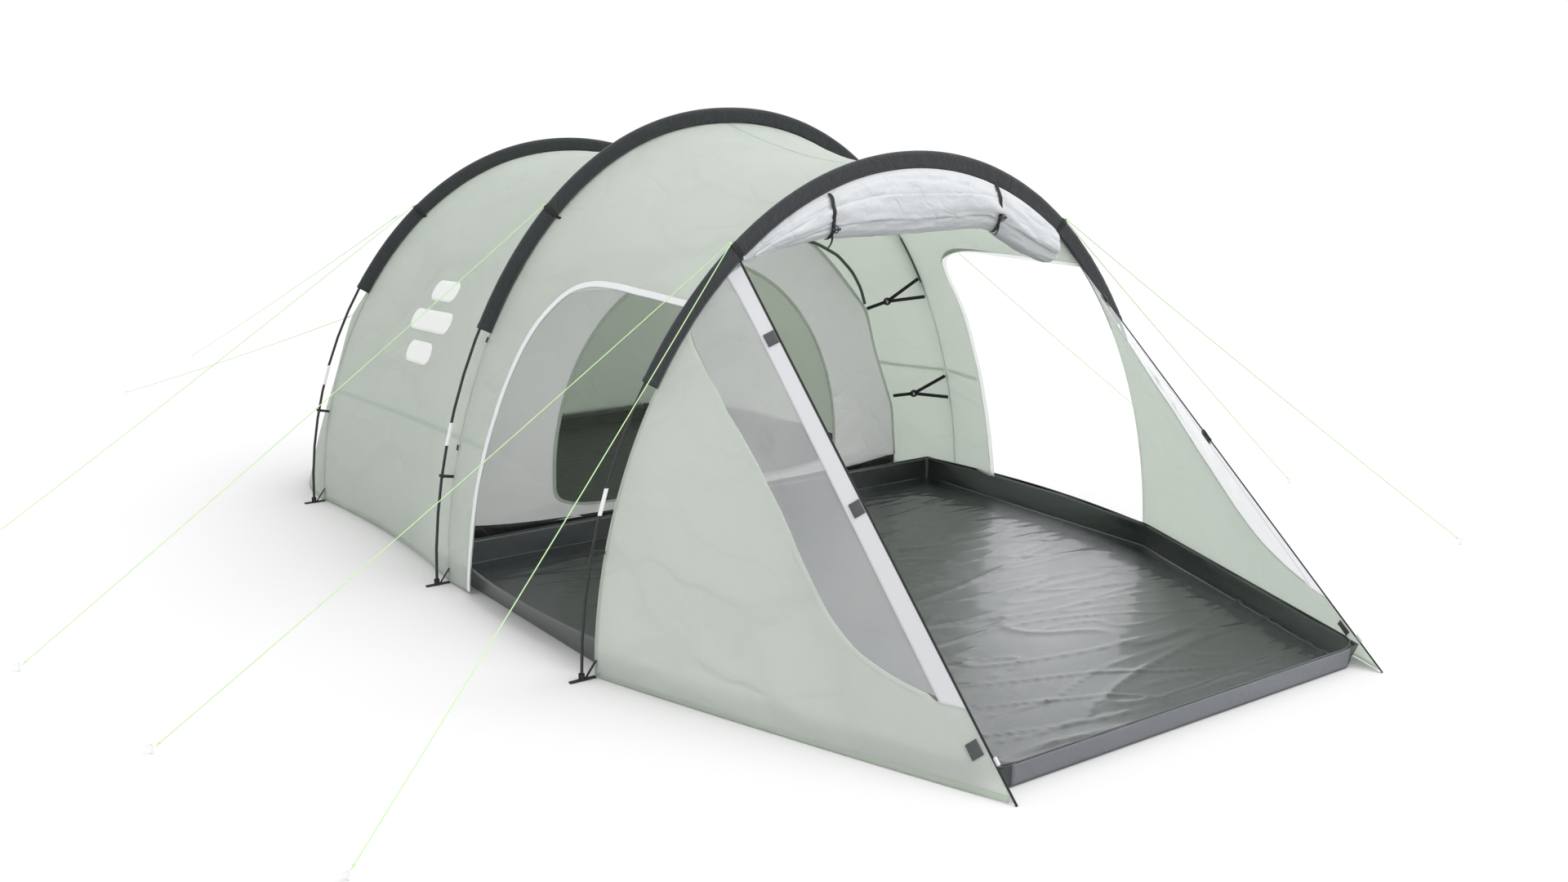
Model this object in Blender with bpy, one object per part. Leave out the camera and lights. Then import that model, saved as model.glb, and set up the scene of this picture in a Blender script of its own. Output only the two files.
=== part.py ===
"""Tunnel tent: three hoops, a bedroom behind the middle hoop and an open porch in front of it.

Frame: +Z up, the porch faces -Y, X is the width, and the origin lies on the ground
under the middle of the tent. Units are metres. Every fabric panel is a thin solid.
"""

import math

import bmesh
import bpy
import numpy as np
from mathutils import Matrix, Vector

# ---------------------------------------------------------------- driving sizes
# hoop: distance along Y, half width, height, and the two exponents of its arch
REAR = (1.469, 1.240, 1.484, 0.976, 1.037)
MIDDLE = (0.150, 1.250, 1.636, 0.934, 1.054)
FRONT = (-0.934, 1.253, 1.518, 0.981, 1.041)
HOOPS = {"rear": REAR, "middle": MIDDLE, "front": FRONT}

POLE_R = 0.0055            # fibreglass pole
POLE_INSET = 0.0095        # pole centre, inwards from the outer line of the sleeve
FERRULE_R = 0.0068         # metal sleeve where two pole sections join
FERRULE_Z = (0.498, 0.578)
POLE_END_Z = 0.0065        # the pole stands this high in its foot
SLEEVE_DEPTH = 0.052       # outer line of the sleeve to its lower hem
SLEEVE_HALF = 0.0080
SLEEVE_WALL = 0.0016
SLEEVE_END = {"rear": 0.2195, "middle": 0.204, "front": 0.212}   # share of the arch
FLY_INSET = 0.057          # fly sheet, inwards from the outer line
CLOTH = 0.002              # thickness of a fabric panel
ROOF_SAG = 0.044           # how far the fly dips between two hoops
EDGE_GAP = 0.003           # between two panels that meet at a hoop

BACK_Y = 2.277             # hem of the rear wall
TIP = (0.7535, -2.277)     # where each porch wing is pegged
WING_TOP = 0.3125          # share of the arch where the wing's zip starts
WING_APEX = (0.668, 1.211)
STRIP_LOW, STRIP_HIGH = 0.075, 0.048   # width of the zip band at its foot and at its head

FLOOR = [(1.150, 0.290), (1.144, -0.982), (0.702, -2.192)]   # porch groundsheet
FLOOR_WALL_BACK, FLOOR_WALL_FRONT = 0.090, 0.064

INNER_Y = 0.350            # front wall of the sleeping compartment
INNER_BACK = 2.080
INNER_EDGE = [(1.012, 0.102), (0.993, 0.337), (0.952, 0.444), (0.892, 0.599), (0.842, 0.781),
              (0.763, 0.871), (0.671, 0.975), (0.568, 1.074), (0.400, 1.176), (0.200, 1.245), (0.0, 1.268)]
DOOR = (0.665, 0.79, 0.25, 0.130)   # half width, rise, level, sill

GUY_R = 0.0015
GUY_T = {"rear": 0.3185, "middle": 0.3125, "front": 0.3265}
PEG_R = 0.0030

COLOURS = {
    "fly": ((0.60, 0.66, 0.59), 0.75), "sleeve": ((0.055, 0.06, 0.065), 0.7),
    "pole": ((0.012, 0.012, 0.013), 0.35), "plastic": ((0.02, 0.02, 0.022), 0.45),
    "webbing": ((0.03, 0.03, 0.033), 0.8), "window": ((0.72, 0.75, 0.78), 0.15),
    "inner": ((0.66, 0.69, 0.71), 0.8), "mesh": ((0.20, 0.25, 0.18), 0.9),
    "tray": ((0.02, 0.022, 0.022), 0.5), "floor": ((0.045, 0.055, 0.048), 0.35),
    "roll": ((0.78, 0.80, 0.82), 0.8), "cord": ((0.62, 0.86, 0.55), 0.6), "steel": ((0.5, 0.5, 0.5), 0.3),
}

# ---------------------------------------------------------------- scene helpers
for leftover in list(bpy.data.objects):
    bpy.data.objects.remove(leftover, do_unlink=True)
for leftover in list(bpy.data.meshes):
    bpy.data.meshes.remove(leftover)

ROOT = bpy.data.objects.new("tent_frame", None)
bpy.context.scene.collection.objects.link(ROOT)


def material(name):
    colour, rough = COLOURS[name]
    mat = bpy.data.materials.get(name) or bpy.data.materials.new(name)
    mat.use_nodes = True
    shader = mat.node_tree.nodes["Principled BSDF"]
    shader.inputs["Base Color"].default_value = (*colour, 1.0)
    shader.inputs["Roughness"].default_value = rough
    shader.inputs["Metallic"].default_value = 1.0 if name == "steel" else 0.0
    return mat


def link(obj, mat, smooth=30.0):
    obj.data.materials.append(material(mat))
    bpy.context.scene.collection.objects.link(obj)
    obj.parent = obj.parent or ROOT
    if obj.type == "MESH":
        obj.data.shade_smooth()
        obj.data.set_sharp_from_angle(angle=math.radians(smooth))
    return obj


def mesh_object(name, verts, faces, mat, outward=True, smooth=30.0):
    mesh = bpy.data.meshes.new(name)
    mesh.from_pydata([tuple(map(float, v)) for v in verts], [], [tuple(map(int, f)) for f in faces])
    bm = bmesh.new()
    bm.from_mesh(mesh)
    bmesh.ops.remove_doubles(bm, verts=bm.verts, dist=1e-5)
    bmesh.ops.dissolve_degenerate(bm, dist=1e-6, edges=bm.edges)
    if outward:
        bmesh.ops.recalc_face_normals(bm, faces=bm.faces)
    bm.to_mesh(mesh)
    bm.free()
    return link(bpy.data.objects.new(name, mesh), mat, smooth)


def panel(name, verts, faces, mat, thick=CLOTH, offset=0.0):
    """A fabric panel: an open sheet of quads, given its thickness by Solidify."""
    obj = mesh_object(name, verts, faces, mat)
    mod = obj.modifiers.new("thickness", "SOLIDIFY")
    mod.thickness = thick
    mod.offset = offset
    mod.use_even_offset = False
    mod.use_rim = True
    return obj


def grid_faces(rows, cols, keep=None):
    """Quads of a rows x cols grid of points, leaving out the cells where keep is False."""
    return [(r * cols + c, r * cols + c + 1, (r + 1) * cols + c + 1, (r + 1) * cols + c)
            for r in range(rows - 1) for c in range(cols - 1) if keep is None or keep(r, c)]


# ---------------------------------------------------------------- hoop geometry
def arch(hoop, t, inset=0.0):
    """Points (x, z) of a hoop at shares t of its length, and the inward normals there."""
    _, a, h, p, q = hoop
    th = np.linspace(0.0, math.pi, 1601)
    c, s = np.cos(th), np.sin(th)
    line = np.stack([-a * np.sign(c) * np.abs(c) ** p, h * np.abs(s) ** q], -1)
    run = np.r_[0.0, np.cumsum(np.linalg.norm(np.diff(line, axis=0), axis=1))]
    run /= run[-1]
    t = np.atleast_1d(np.asarray(t, float))

    def at(u):
        u = np.clip(u, 0.0, 1.0)
        return np.stack([np.interp(u, run, line[:, 0]), np.interp(u, run, line[:, 1])], -1)

    step = at(t + 0.004) - at(t - 0.004)
    step /= np.linalg.norm(step, axis=1)[:, None]
    normal = np.stack([step[:, 1], -step[:, 0]], -1)
    return at(t) + inset * normal, normal


def point_at_height(hoop, z, inset, side):
    """The point of a leg at height z, with its tangent (up) and inward normal, as 3-D vectors."""
    t = np.linspace(0.0, 0.45, 4001)
    pts, nrm = arch(hoop, t, inset)
    i = int(np.argmin(np.abs(pts[:, 1] - z)))
    up = pts[i + 8] - pts[max(i - 8, 0)]
    up /= np.linalg.norm(up)
    p = Vector((pts[i, 0] * side, hoop[0], pts[i, 1]))
    return p, Vector((up[0] * side, 0, up[1])), Vector((nrm[i, 0] * side, 0, nrm[i, 1]))


def pole_line(hoop, count):
    """Centreline of the pole, from its left foot to its right foot."""
    pts, _ = arch(hoop, np.linspace(0.0, 1.0, 801), POLE_INSET)
    pts = pts[pts[:, 1] > POLE_END_Z]
    foot = hoop[1] - POLE_INSET
    pts = np.vstack([(-foot, POLE_END_Z), pts, (foot, POLE_END_Z)])
    run = np.r_[0.0, np.cumsum(np.linalg.norm(np.diff(pts, axis=0), axis=1))]
    s = np.linspace(0.0, run[-1], count)
    out = np.stack([np.interp(s, run, pts[:, 0]), np.interp(s, run, pts[:, 1])], -1)
    return out


def tube(name, line, radii, mat, sides=8):
    """A round bar along a line in a hoop's plane, with a radius at each point and flat ends."""
    line = np.asarray(line, float)
    tangent = np.gradient(line, axis=0)
    tangent /= np.linalg.norm(tangent, axis=1)[:, None]
    across = np.array([0.0, 1.0, 0.0])
    verts = []
    for p, d, r in zip(line, tangent, radii):
        n = np.cross(d, across)
        n /= np.linalg.norm(n)
        verts += [p + r * (math.cos(a) * n + math.sin(a) * across)
                  for a in np.arange(sides) * 2 * math.pi / sides]
    count = len(line)
    faces = [(i * sides + j, i * sides + (j + 1) % sides, (i + 1) * sides + (j + 1) % sides, (i + 1) * sides + j)
             for i in range(count - 1) for j in range(sides)]
    faces += [tuple(range(sides)), tuple((count - 1) * sides + j for j in range(sides))]
    return mesh_object(name, verts, faces, mat, smooth=40.0)


# ---------------------------------------------------------------- poles
def make_pole(key):
    hoop = HOOPS[key]
    base = pole_line(hoop, 37)
    line, radii = [], []
    for i in range(len(base)):
        line.append(base[i])
        radii.append(POLE_R)
        if i + 1 < len(base):
            a, b = base[i], base[i + 1]
            for z in (FERRULE_Z if b[1] > a[1] else FERRULE_Z[::-1]):
                if min(a[1], b[1]) < z < max(a[1], b[1]):
                    f = (z - a[1]) / (b[1] - a[1])
                    q = a + f * (b - a)
                    inner = (z == FERRULE_Z[0]) == (b[1] > a[1])
                    e = (b - a) / np.linalg.norm(b - a) * 0.0004
                    line += [q - e, q + e]
                    radii += [POLE_R, FERRULE_R] if inner else [FERRULE_R, POLE_R]
    inside = False
    for i, p in enumerate(line):
        if FERRULE_Z[0] + 0.001 < p[1] < FERRULE_Z[1] - 0.001:
            radii[i] = FERRULE_R
    pts = [(p[0], hoop[0], p[1]) for p in line]
    return tube(f"{key}_hoop_pole", pts, radii, "pole", 6)


for hoop_name in HOOPS:
    make_pole(hoop_name)


# ---------------------------------------------------------------- pole sleeves
def make_sleeve(key):
    """Two plies of cloth folded over the pole, open towards the fly: a U swept along the arch."""
    hoop = HOOPS[key]
    end = SLEEVE_END[key]
    t = np.linspace(end, 1.0 - end, 29)
    centre, normal = arch(hoop, t)
    w, s = SLEEVE_HALF, SLEEVE_HALF - SLEEVE_WALL
    profile = [(-w, SLEEVE_DEPTH), (-w, 0.003), (-w + 0.003, 0.0), (w - 0.003, 0.0), (w, 0.003), (w, SLEEVE_DEPTH),
               (s, SLEEVE_DEPTH), (s, SLEEVE_WALL), (-s, SLEEVE_WALL), (-s, SLEEVE_DEPTH)]
    verts = []
    for c, n in zip(centre, normal):
        verts += [(c[0] + d * n[0], hoop[0] + y, c[1] + d * n[1]) for y, d in profile]
    m = len(profile)
    faces = [(i * m + j, i * m + (j + 1) % m, (i + 1) * m + (j + 1) % m, (i + 1) * m + j)
             for i in range(len(t) - 1) for j in range(m)]
    faces += [tuple(range(m)), tuple((len(t) - 1) * m + j for j in range(m))]
    return mesh_object(f"{key}_pole_sleeve", verts, faces, "sleeve", smooth=40.0)


for hoop_name in HOOPS:
    make_sleeve(hoop_name)


# ---------------------------------------------------------------- fly sheet
def fly_point(back, front, t, v, low, lift):
    """A point of the fly between two hoops: t along the arch, v from the back hoop to the front one.

    low is the share of the roof's dip that the hem has, and lift is how far the hem rises between its pegs.
    """
    a, n = arch(back, t, FLY_INSET)
    b, _ = arch(front, t, FLY_INSET)
    t = np.asarray(t, float)
    p = a * (1 - v)[:, None] + b * v[:, None]
    dip = 4 * v * (1 - v) * ROOF_SAG * (low + (1 - low) * np.abs(np.sin(math.pi * t)) ** 0.8)
    p = p + n * dip[:, None]
    y = (back[0] - EDGE_GAP / 2) * (1 - v) + (front[0] + EDGE_GAP / 2) * v
    z = np.maximum(p[:, 1], 0.006 + lift * 4 * v * (1 - v))
    return np.stack([p[:, 0], y, z], -1)


def make_bedroom_section():
    t, v = np.linspace(0.0, 1.0, 33), np.linspace(0.0, 1.0, 5)
    tt, vv = np.meshgrid(t, v, indexing="ij")
    pts = fly_point(REAR, MIDDLE, tt.ravel(), vv.ravel(), 0.80, 0.018)
    return panel("fly_bedroom_section", pts, grid_faces(len(t), len(v)), "fly")


# The side doorways: how far along v the cloth reaches, against t, from the ground up to the front hoop.
DOORWAY = [(0.000, 0.190), (0.100, 0.184), (0.160, 0.180), (0.198, 0.190), (0.225, 0.215), (0.248, 0.262),
           (0.262, 0.330), (0.271, 0.420), (0.276, 0.560), (0.2785, 0.760), (0.279, 1.000)]


def living_outline(count):
    """Outer edge of the porch roof in (t, v): up the rear doorpost, over the lintel, across the front hoop."""
    half = np.array(DOORWAY)
    half = np.vstack([half, (0.5, 1.0)])
    scale = np.array([4.4, 1.08])
    run = np.r_[0.0, np.cumsum(np.linalg.norm(np.diff(half * scale, axis=0), axis=1))]
    s = np.linspace(0.0, run[-1], count)
    left = np.stack([np.interp(s, run, half[:, 0]), np.interp(s, run, half[:, 1])], -1)
    right = left[::-1][1:] * np.array([-1, 1]) + np.array([1, 0])
    return np.vstack([left, right])


def make_living_section():
    edge = living_outline(20)
    n = len(edge)
    half = (n + 1) // 2
    start = 0.5 * (np.linspace(0.0, 1.0, half) ** 1.0)
    start = np.r_[start, 1.0 - start[::-1][1:]]
    rows = 5
    tt, vv = [], []
    for i in range(n):
        for k in range(rows):
            f = k / (rows - 1)
            tt.append(start[i] * (1 - f) + edge[i, 0] * f)
            vv.append(edge[i, 1] * f)
    pts = fly_point(MIDDLE, FRONT, np.array(tt), np.array(vv), 0.10, 0.004)
    return panel("fly_living_section", pts, grid_faces(n, rows), "fly")


REAR_HEM = [(0.00, -1.184, 1.475), (0.08, -1.182, 1.640), (0.16, -1.120, 1.860), (0.26, -0.960, 2.070),
            (0.36, -0.620, 2.200), (0.50, 0.0, BACK_Y - CLOTH)]


# Where two guys pull the rear wall out: column and row of the wall's grid, and the peak there.
WALL_ROWS = (0.0, 0.07, 0.16, 0.36, 0.64, 1.0)
WALL_PEAKS = [(9, 1, (-0.760, 1.570, 1.166)), (6, 2, (-0.982, 1.592, 0.754))]


def make_rear_wall():
    """The end of the bedroom: from the rear hoop down to its hem, pegged behind it."""
    t = np.linspace(0.0, 1.0, 29)
    hem = np.array(REAR_HEM)
    f = np.minimum(t, 1 - t)
    hx = np.interp(f, hem[:, 0], hem[:, 1]) * np.where(t > 0.5, -1, 1)
    hy = np.interp(f, hem[:, 0], hem[:, 2])
    top, _ = arch(REAR, t, FLY_INSET)
    rows = len(WALL_ROWS)
    pts = []
    for i in range(len(t)):
        a = np.array([top[i, 0], REAR[0] + EDGE_GAP, max(top[i, 1], 0.006)])
        b = np.array([hx[i], hy[i], 0.006])
        for g in WALL_ROWS:
            p = a * (1 - g) + b * g
            out = 0.035 * 4 * g * (1 - g) * min(a[2] / 0.4, 1.0)
            p[1] += out
            pts.append(p)
    for column, row, peak in WALL_PEAKS:
        pts[column * rows + row] = np.array(peak)
    return panel("fly_rear_wall", np.array(pts), grid_faces(len(t), rows), "fly")


make_bedroom_section()
make_living_section()
make_rear_wall()

# ---------------------------------------------------------------- porch wings
# Window edge in the wing: share b up the wing against share a from the hoop to the front edge.
WINDOW_EDGE = [(0.00, 0.830), (0.06, 0.822), (0.25, 0.765), (0.42, 0.695), (0.55, 0.600), (0.62, 0.530),
               (0.66, 0.455), (0.69, 0.360), (0.72, 0.270), (0.765, 0.212), (0.85, 0.176), (0.94, 0.158), (1.00, 0.150)]


def wing_point(a, b):
    """A point of the left wing: a from the hoop (0) to the front edge (1), b from the hem (0) to the apex (1)."""
    hoop, _ = arch(FRONT, b * WING_TOP, FLY_INSET)
    p = np.stack([hoop[:, 0], np.full(len(b), FRONT[0] - EDGE_GAP), hoop[:, 1]], -1)
    foot = np.array([-TIP[0], TIP[1], 0.0])
    head = np.array([-WING_APEX[0], FRONT[0] - EDGE_GAP, WING_APEX[1]])
    e = foot + (head - foot) * b[:, None]
    q = p * (1 - a)[:, None] + e * a[:, None]
    q[:, 0] -= 0.012 * 4 * a * (1 - a) * np.clip(1 - b * 1.2, 0, 1)
    q[:, 2] = np.maximum(q[:, 2], 0.006)
    return q


def band_share(b):
    """Where the zip band starts, as a share a, at height share b."""
    b = np.atleast_1d(b)
    length = np.linalg.norm(wing_point(np.ones_like(b), b) - wing_point(np.zeros_like(b), b), axis=1)
    return 1.0 - np.clip((STRIP_LOW * (1 - b) + STRIP_HIGH * b) / length, 0.0, 0.985)


def wing_grid(a_cells, low_rows, high_rows, gap_a=0.0, gap_b=0.0):
    """Points of the wing with grid lines on the window's edge and on the zip band's edge."""
    edge = np.array(WINDOW_EDGE)
    pts, shape = [], (low_rows + high_rows + 1, a_cells + 2)
    for r in range(shape[0]):
        for c in range(shape[1]):
            if c <= a_cells:
                s = c / a_cells
                a0 = s * 0.94
                sill = np.interp(a0, edge[:, 0], edge[:, 1])
            else:
                sill = edge[-1, 1]
            if r <= low_rows:
                b = sill * r / low_rows
            else:
                b = sill + (0.992 - sill) * (r - low_rows) / high_rows
            if c <= a_cells:
                a = (c / a_cells) * float(band_share(b)[0])
            else:
                a = 1.0
            pts.append((a, b))
    ab = np.array(pts)
    return wing_point(ab[:, 0], ab[:, 1]), shape


def mirrored(points, side):
    return np.asarray(points) * np.array([-side, 1.0, 1.0])


def make_wing(side, word):
    cells, low, high = 10, 4, 7
    pts, (rows, cols) = wing_grid(cells, low, high)
    panel(f"wing_{word}", mirrored(pts, side), grid_faces(rows, cols, lambda r, c: r < low or c >= cells), "fly")
    window, inner = [], []
    for r in range(low, rows - 1):
        for c in range(cols - 1):
            window.append((r, c))
    # the clear window fills the gap and stays clear of the cloth all round
    w = pts.reshape(rows, cols, 3)[low:, :cells + 1]
    centre = w.mean(axis=(0, 1))
    w = w[:-2]
    shrunk = w.copy()
    d_low = w[1] - w[0]
    shrunk[0] += 0.004 * d_low / np.linalg.norm(d_low, axis=1)[:, None]
    shrunk[:, 0] += 0.004 * (w[:, 1] - w[:, 0]) / np.linalg.norm(w[:, 1] - w[:, 0], axis=1)[:, None]
    shrunk[:, -1] -= 0.004 * (w[:, -1] - w[:, -2]) / np.linalg.norm(w[:, -1] - w[:, -2], axis=1)[:, None]
    panel(f"window_{word}", mirrored(shrunk.reshape(-1, 3), side), grid_faces(shrunk.shape[0], cells + 1), "window", 0.0012)


make_wing(-1, "right")
make_wing(1, "left")

# ---------------------------------------------------------------- rolled front door
ROLL_X = np.array([-0.640, -0.600, -0.520, -0.420, -0.300, -0.150, 0.0, 0.150, 0.300, 0.380, 0.450, 0.540, 0.610, 0.640])
ROLL_LOW = np.array([1.185, 1.200, 1.238, 1.252, 1.254, 1.254, 1.254, 1.254, 1.252, 1.217, 1.185, 1.150, 1.122, 1.130])
ROLL_HALF = 0.050
ROLL_Y = FRONT[0] + 0.004


def roll_height(x):
    """Underside of the sleeve above x, less a gap."""
    pts, _ = arch(FRONT, np.linspace(0.2, 0.8, 801), FLY_INSET + 0.004)
    return float(np.interp(x, pts[:, 0], pts[:, 1]))


def roll_section(x, low, grow=0.0):
    top = roll_height(x) - 0.002
    mid, half = (top + low) / 2, (top - low) / 2 + grow
    depth = min(ROLL_HALF, half * 0.9 + 0.012) + grow
    ring = []
    for k in range(12):
        a = 2 * math.pi * k / 12 + math.pi / 12
        c, s = math.cos(a), math.sin(a)
        ring.append((x, ROLL_Y + depth * math.copysign(abs(c) ** 0.8, c), mid + half * math.copysign(abs(s) ** 0.8, s)))
    return ring


def make_roll():
    verts = [p for x, low in zip(ROLL_X, ROLL_LOW) for p in roll_section(x, low)]
    n = len(ROLL_X)
    faces = [(i * 12 + j, i * 12 + (j + 1) % 12, (i + 1) * 12 + (j + 1) % 12, (i + 1) * 12 + j)
             for i in range(n - 1) for j in range(12)]
    faces += [tuple(range(12)), tuple((n - 1) * 12 + j for j in range(12))]
    return mesh_object("front_door_roll", verts, faces, "roll", smooth=50.0)


make_roll()

STRAP_X = {"left": -0.348, "right": 0.350}
TOGGLE_Z = 1.291


def make_roll_strap(word):
    """A webbing strap from the sleeve down over the front of the roll and under it."""
    x = STRAP_X[word]
    low = float(np.interp(x, ROLL_X, ROLL_LOW))
    ring = np.array(roll_section(x, low, 0.0035))
    front = [p for p in ring if p[1] < ROLL_Y - 0.008]
    front.sort(key=lambda p: -p[2])
    line = [Vector((x, p[1], p[2])) for p in front]
    verts = []
    for p in line:
        verts += [(x - 0.006, p.y, p.z), (x + 0.006, p.y, p.z)]
    return panel(f"roll_strap_{word}", verts, grid_faces(len(line), 2), "webbing", 0.0015)


def make_toggle(word):
    """A short bar that holds the strap's loop; it turns about an axis along Y to slip out."""
    x = STRAP_X[word]
    bpy.ops.mesh.primitive_cylinder_add(vertices=10, radius=0.0045, depth=0.030)
    obj = bpy.context.object
    obj.name = f"roll_toggle_{word}"
    obj.data.name = obj.name
    for holder in list(obj.users_collection):
        holder.objects.unlink(obj)
    obj.data.materials.clear()
    link(obj, "plastic", 40.0)
    obj.location = (x, ROLL_Y - ROLL_HALF - 0.0125, TOGGLE_Z)
    obj.rotation_euler = (0.0, math.pi / 2, 0.0)
    bevel = obj.modifiers.new("round", "BEVEL")
    bevel.width = 0.0015
    bevel.segments = 2
    bevel.limit_method = "ANGLE"
    return obj


for word in STRAP_X:
    make_roll_strap(word)
    make_toggle(word)


# ---------------------------------------------------------------- zip sliders
def edge_frame(side):
    foot = Vector((-TIP[0] * side, TIP[1], 0.0))
    head = Vector((-WING_APEX[0] * side, FRONT[0] - EDGE_GAP, WING_APEX[1]))
    along = (head - foot).normalized()
    out = Vector((0.0, -along.z, along.y)).normalized()   # forwards, square to the edge
    return foot, along, out


def make_slider(side, word):
    foot, along, out = edge_frame(side)
    length, wide, deep = 0.024, 0.008, 0.009
    across = along.cross(out).normalized()
    centre = foot + along * 0.120 + out * (deep / 2 + 0.003)
    bpy.ops.mesh.primitive_cube_add(size=1.0)
    obj = bpy.context.object
    obj.name = f"zip_slider_{word}"
    obj.data.name = obj.name
    for holder in list(obj.users_collection):
        holder.objects.unlink(obj)
    obj.data.materials.clear()
    obj.data.transform(Matrix.Diagonal((wide, deep, length, 1.0)))
    link(obj, "plastic")
    turn = Matrix((across, out, along)).transposed().to_4x4()
    obj.matrix_world = Matrix.Translation(centre) @ turn
    bevel = obj.modifiers.new("round", "BEVEL")
    bevel.width = 0.0018
    bevel.segments = 2
    return obj


make_slider(1, "left")
make_slider(-1, "right")


# ---------------------------------------------------------------- clips and feet
def extrude_profile(name, profile, origin, ex, ey, ez, height, mat):
    """A closed profile (in ex, ey) given a height along ez, centred on origin."""
    verts = []
    for h in (-height / 2, height / 2):
        verts += [origin + ex * u + ey * v + ez * h for u, v in profile]
    m = len(profile)
    faces = [(j, (j + 1) % m, m + (j + 1) % m, m + j) for j in range(m)]
    faces += [tuple(range(m)), tuple(range(m, 2 * m))]
    return mesh_object(name, verts, faces, mat)


def clip_profile():
    """A hook that snaps on the pole (centre 0, 0) with an arm towards the fly at +u."""
    outer, inner, arm, half = 0.0100, 0.0066, 0.0435, 0.0030
    pts = []
    for k in range(9):                                   # from the mouth round one side to the arm
        a = math.radians(145 - k * (145 - 20) / 8)
        pts.append((outer * math.cos(a), outer * math.sin(a)))
    pts += [(arm, half), (arm, -half)]
    for k in range(9):
        a = math.radians(-20 - k * (145 - 20) / 8)
        pts.append((outer * math.cos(a), outer * math.sin(a)))
    for k in range(11):
        a = math.radians(-145 + k * 290 / 10)
        pts.append((inner * math.cos(a), inner * math.sin(a)))
    return pts


CLIP_Z = 0.392


def make_clip(key, side, word):
    p, up, inward = point_at_height(HOOPS[key], CLIP_Z, POLE_INSET, side)
    across = up.cross(inward)
    extrude_profile(f"pole_clip_{key}_{word}", clip_profile(), p, inward, across, up, 0.010, "plastic")


def make_foot(key, side, word):
    """A webbing foot pegged flat on the ground, with the cup that the pole stands in."""
    hoop = HOOPS[key]
    x = -(hoop[1] - POLE_INSET) * side
    bar = bpy.data.meshes.new(f"pole_foot_{key}_{word}")
    bm = bmesh.new()
    bmesh.ops.create_cube(bm, size=1.0, matrix=Matrix.Translation((0.003, 0, 0.0022)) @ Matrix.Diagonal((0.086, 0.014, 0.0044, 1)))
    bm.to_mesh(bar)
    bm.free()
    obj = bpy.data.objects.new(bar.name, bar)
    link(obj, "plastic")
    obj.location = (x, hoop[0], 0.0)
    obj.rotation_euler = (0, 0, 0 if side > 0 else math.pi)
    for tag, radius, low, high in (("cup", 0.0098, 0.0022, 0.022), ("bore", 0.0066, 0.0060, 0.050)):
        cutter = bpy.data.meshes.new(f"{tag}_{key}_{word}")
        bm = bmesh.new()
        bmesh.ops.create_cone(bm, cap_ends=True, segments=12, radius1=radius, radius2=radius, depth=high - low,
                              matrix=Matrix.Translation((0, 0, (low + high) / 2)))
        bm.to_mesh(cutter)
        bm.free()
        tool = bpy.data.objects.new(cutter.name, cutter)
        bpy.context.scene.collection.objects.link(tool)
        tool.parent = obj
        tool.hide_render = True
        tool.display_type = "WIRE"
        mod = obj.modifiers.new(tag, "BOOLEAN")
        mod.operation = "UNION" if tag == "cup" else "DIFFERENCE"
        mod.object = tool
    return obj


for hoop_name in HOOPS:
    for hand, word in ((1, "left"), (-1, "right")):
        make_clip(hoop_name, hand, word)
        make_foot(hoop_name, hand, word)


# ---------------------------------------------------------------- groundsheet of the porch
def make_tray(name, outline, heights, mat, floor_z, wall_lean=0.0):
    """An open tray: a floor polygon with walls of the given height at each corner."""
    n = len(outline)
    cx = sum(p[0] for p in outline) / n
    cy = sum(p[1] for p in outline) / n
    verts = [(x, y, floor_z) for x, y in outline]
    for (x, y), h in zip(outline, heights):
        d = math.hypot(x - cx, y - cy)
        verts.append((x + wall_lean * (x - cx) / d, y + wall_lean * (y - cy) / d, floor_z + h))
    faces = [tuple(range(n))] + [(i, (i + 1) % n, n + (i + 1) % n, n + i) for i in range(n)]
    return panel(name, verts, faces, mat, CLOTH)


porch = [(x, y) for x, y in FLOOR] + [(-x, y) for x, y in reversed(FLOOR)]
make_tray("porch_groundsheet", porch,
          [FLOOR_WALL_BACK, FLOOR_WALL_BACK, FLOOR_WALL_FRONT, FLOOR_WALL_FRONT, FLOOR_WALL_BACK, FLOOR_WALL_BACK],
          "floor", 0.003, 0.004)

bed = [(1.004, INNER_Y + 0.003), (1.000, 1.300), (0.900, INNER_BACK - 0.12), (0.720, INNER_BACK)]
bed = bed + [(-x, y) for x, y in reversed(bed)]
make_tray("inner_floor", bed, [0.095] * 8, "tray", 0.004)


# ---------------------------------------------------------------- sleeping compartment
def inner_half(count):
    edge = np.array(INNER_EDGE)
    run = np.r_[0.0, np.cumsum(np.linalg.norm(np.diff(edge, axis=0), axis=1))]
    s = np.linspace(0.0, run[-1], count)
    return np.stack([np.interp(s, run, edge[:, 0]), np.interp(s, run, edge[:, 1])], -1)


def inner_arch(count):
    """Outline of the front wall from the lower left corner over the top to the lower right one."""
    half = inner_half(count)
    return np.vstack([half * np.array([-1, 1]), (half[::-1])[1:]])


INNER_RINGS = [(INNER_Y + 0.006, 1.0, 1.0), (0.700, 1.0, 1.02), (1.100, 0.99, 0.99), (1.400, 0.97, 0.94),
               (1.580, 0.935, 0.76), (1.740, 0.905, 0.54), (1.900, 0.865, 0.28), (2.020, 0.80, 0.10)]


def make_inner_canopy():
    base = inner_arch(11)
    pts = []
    for y, wide, tall in INNER_RINGS:
        for x, z in base:
            pts.append((x * wide, y, 0.104 + (z - 0.102) * tall))
    return panel("inner_canopy", pts, grid_faces(len(INNER_RINGS), len(base)), "inner", 0.0015)


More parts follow.
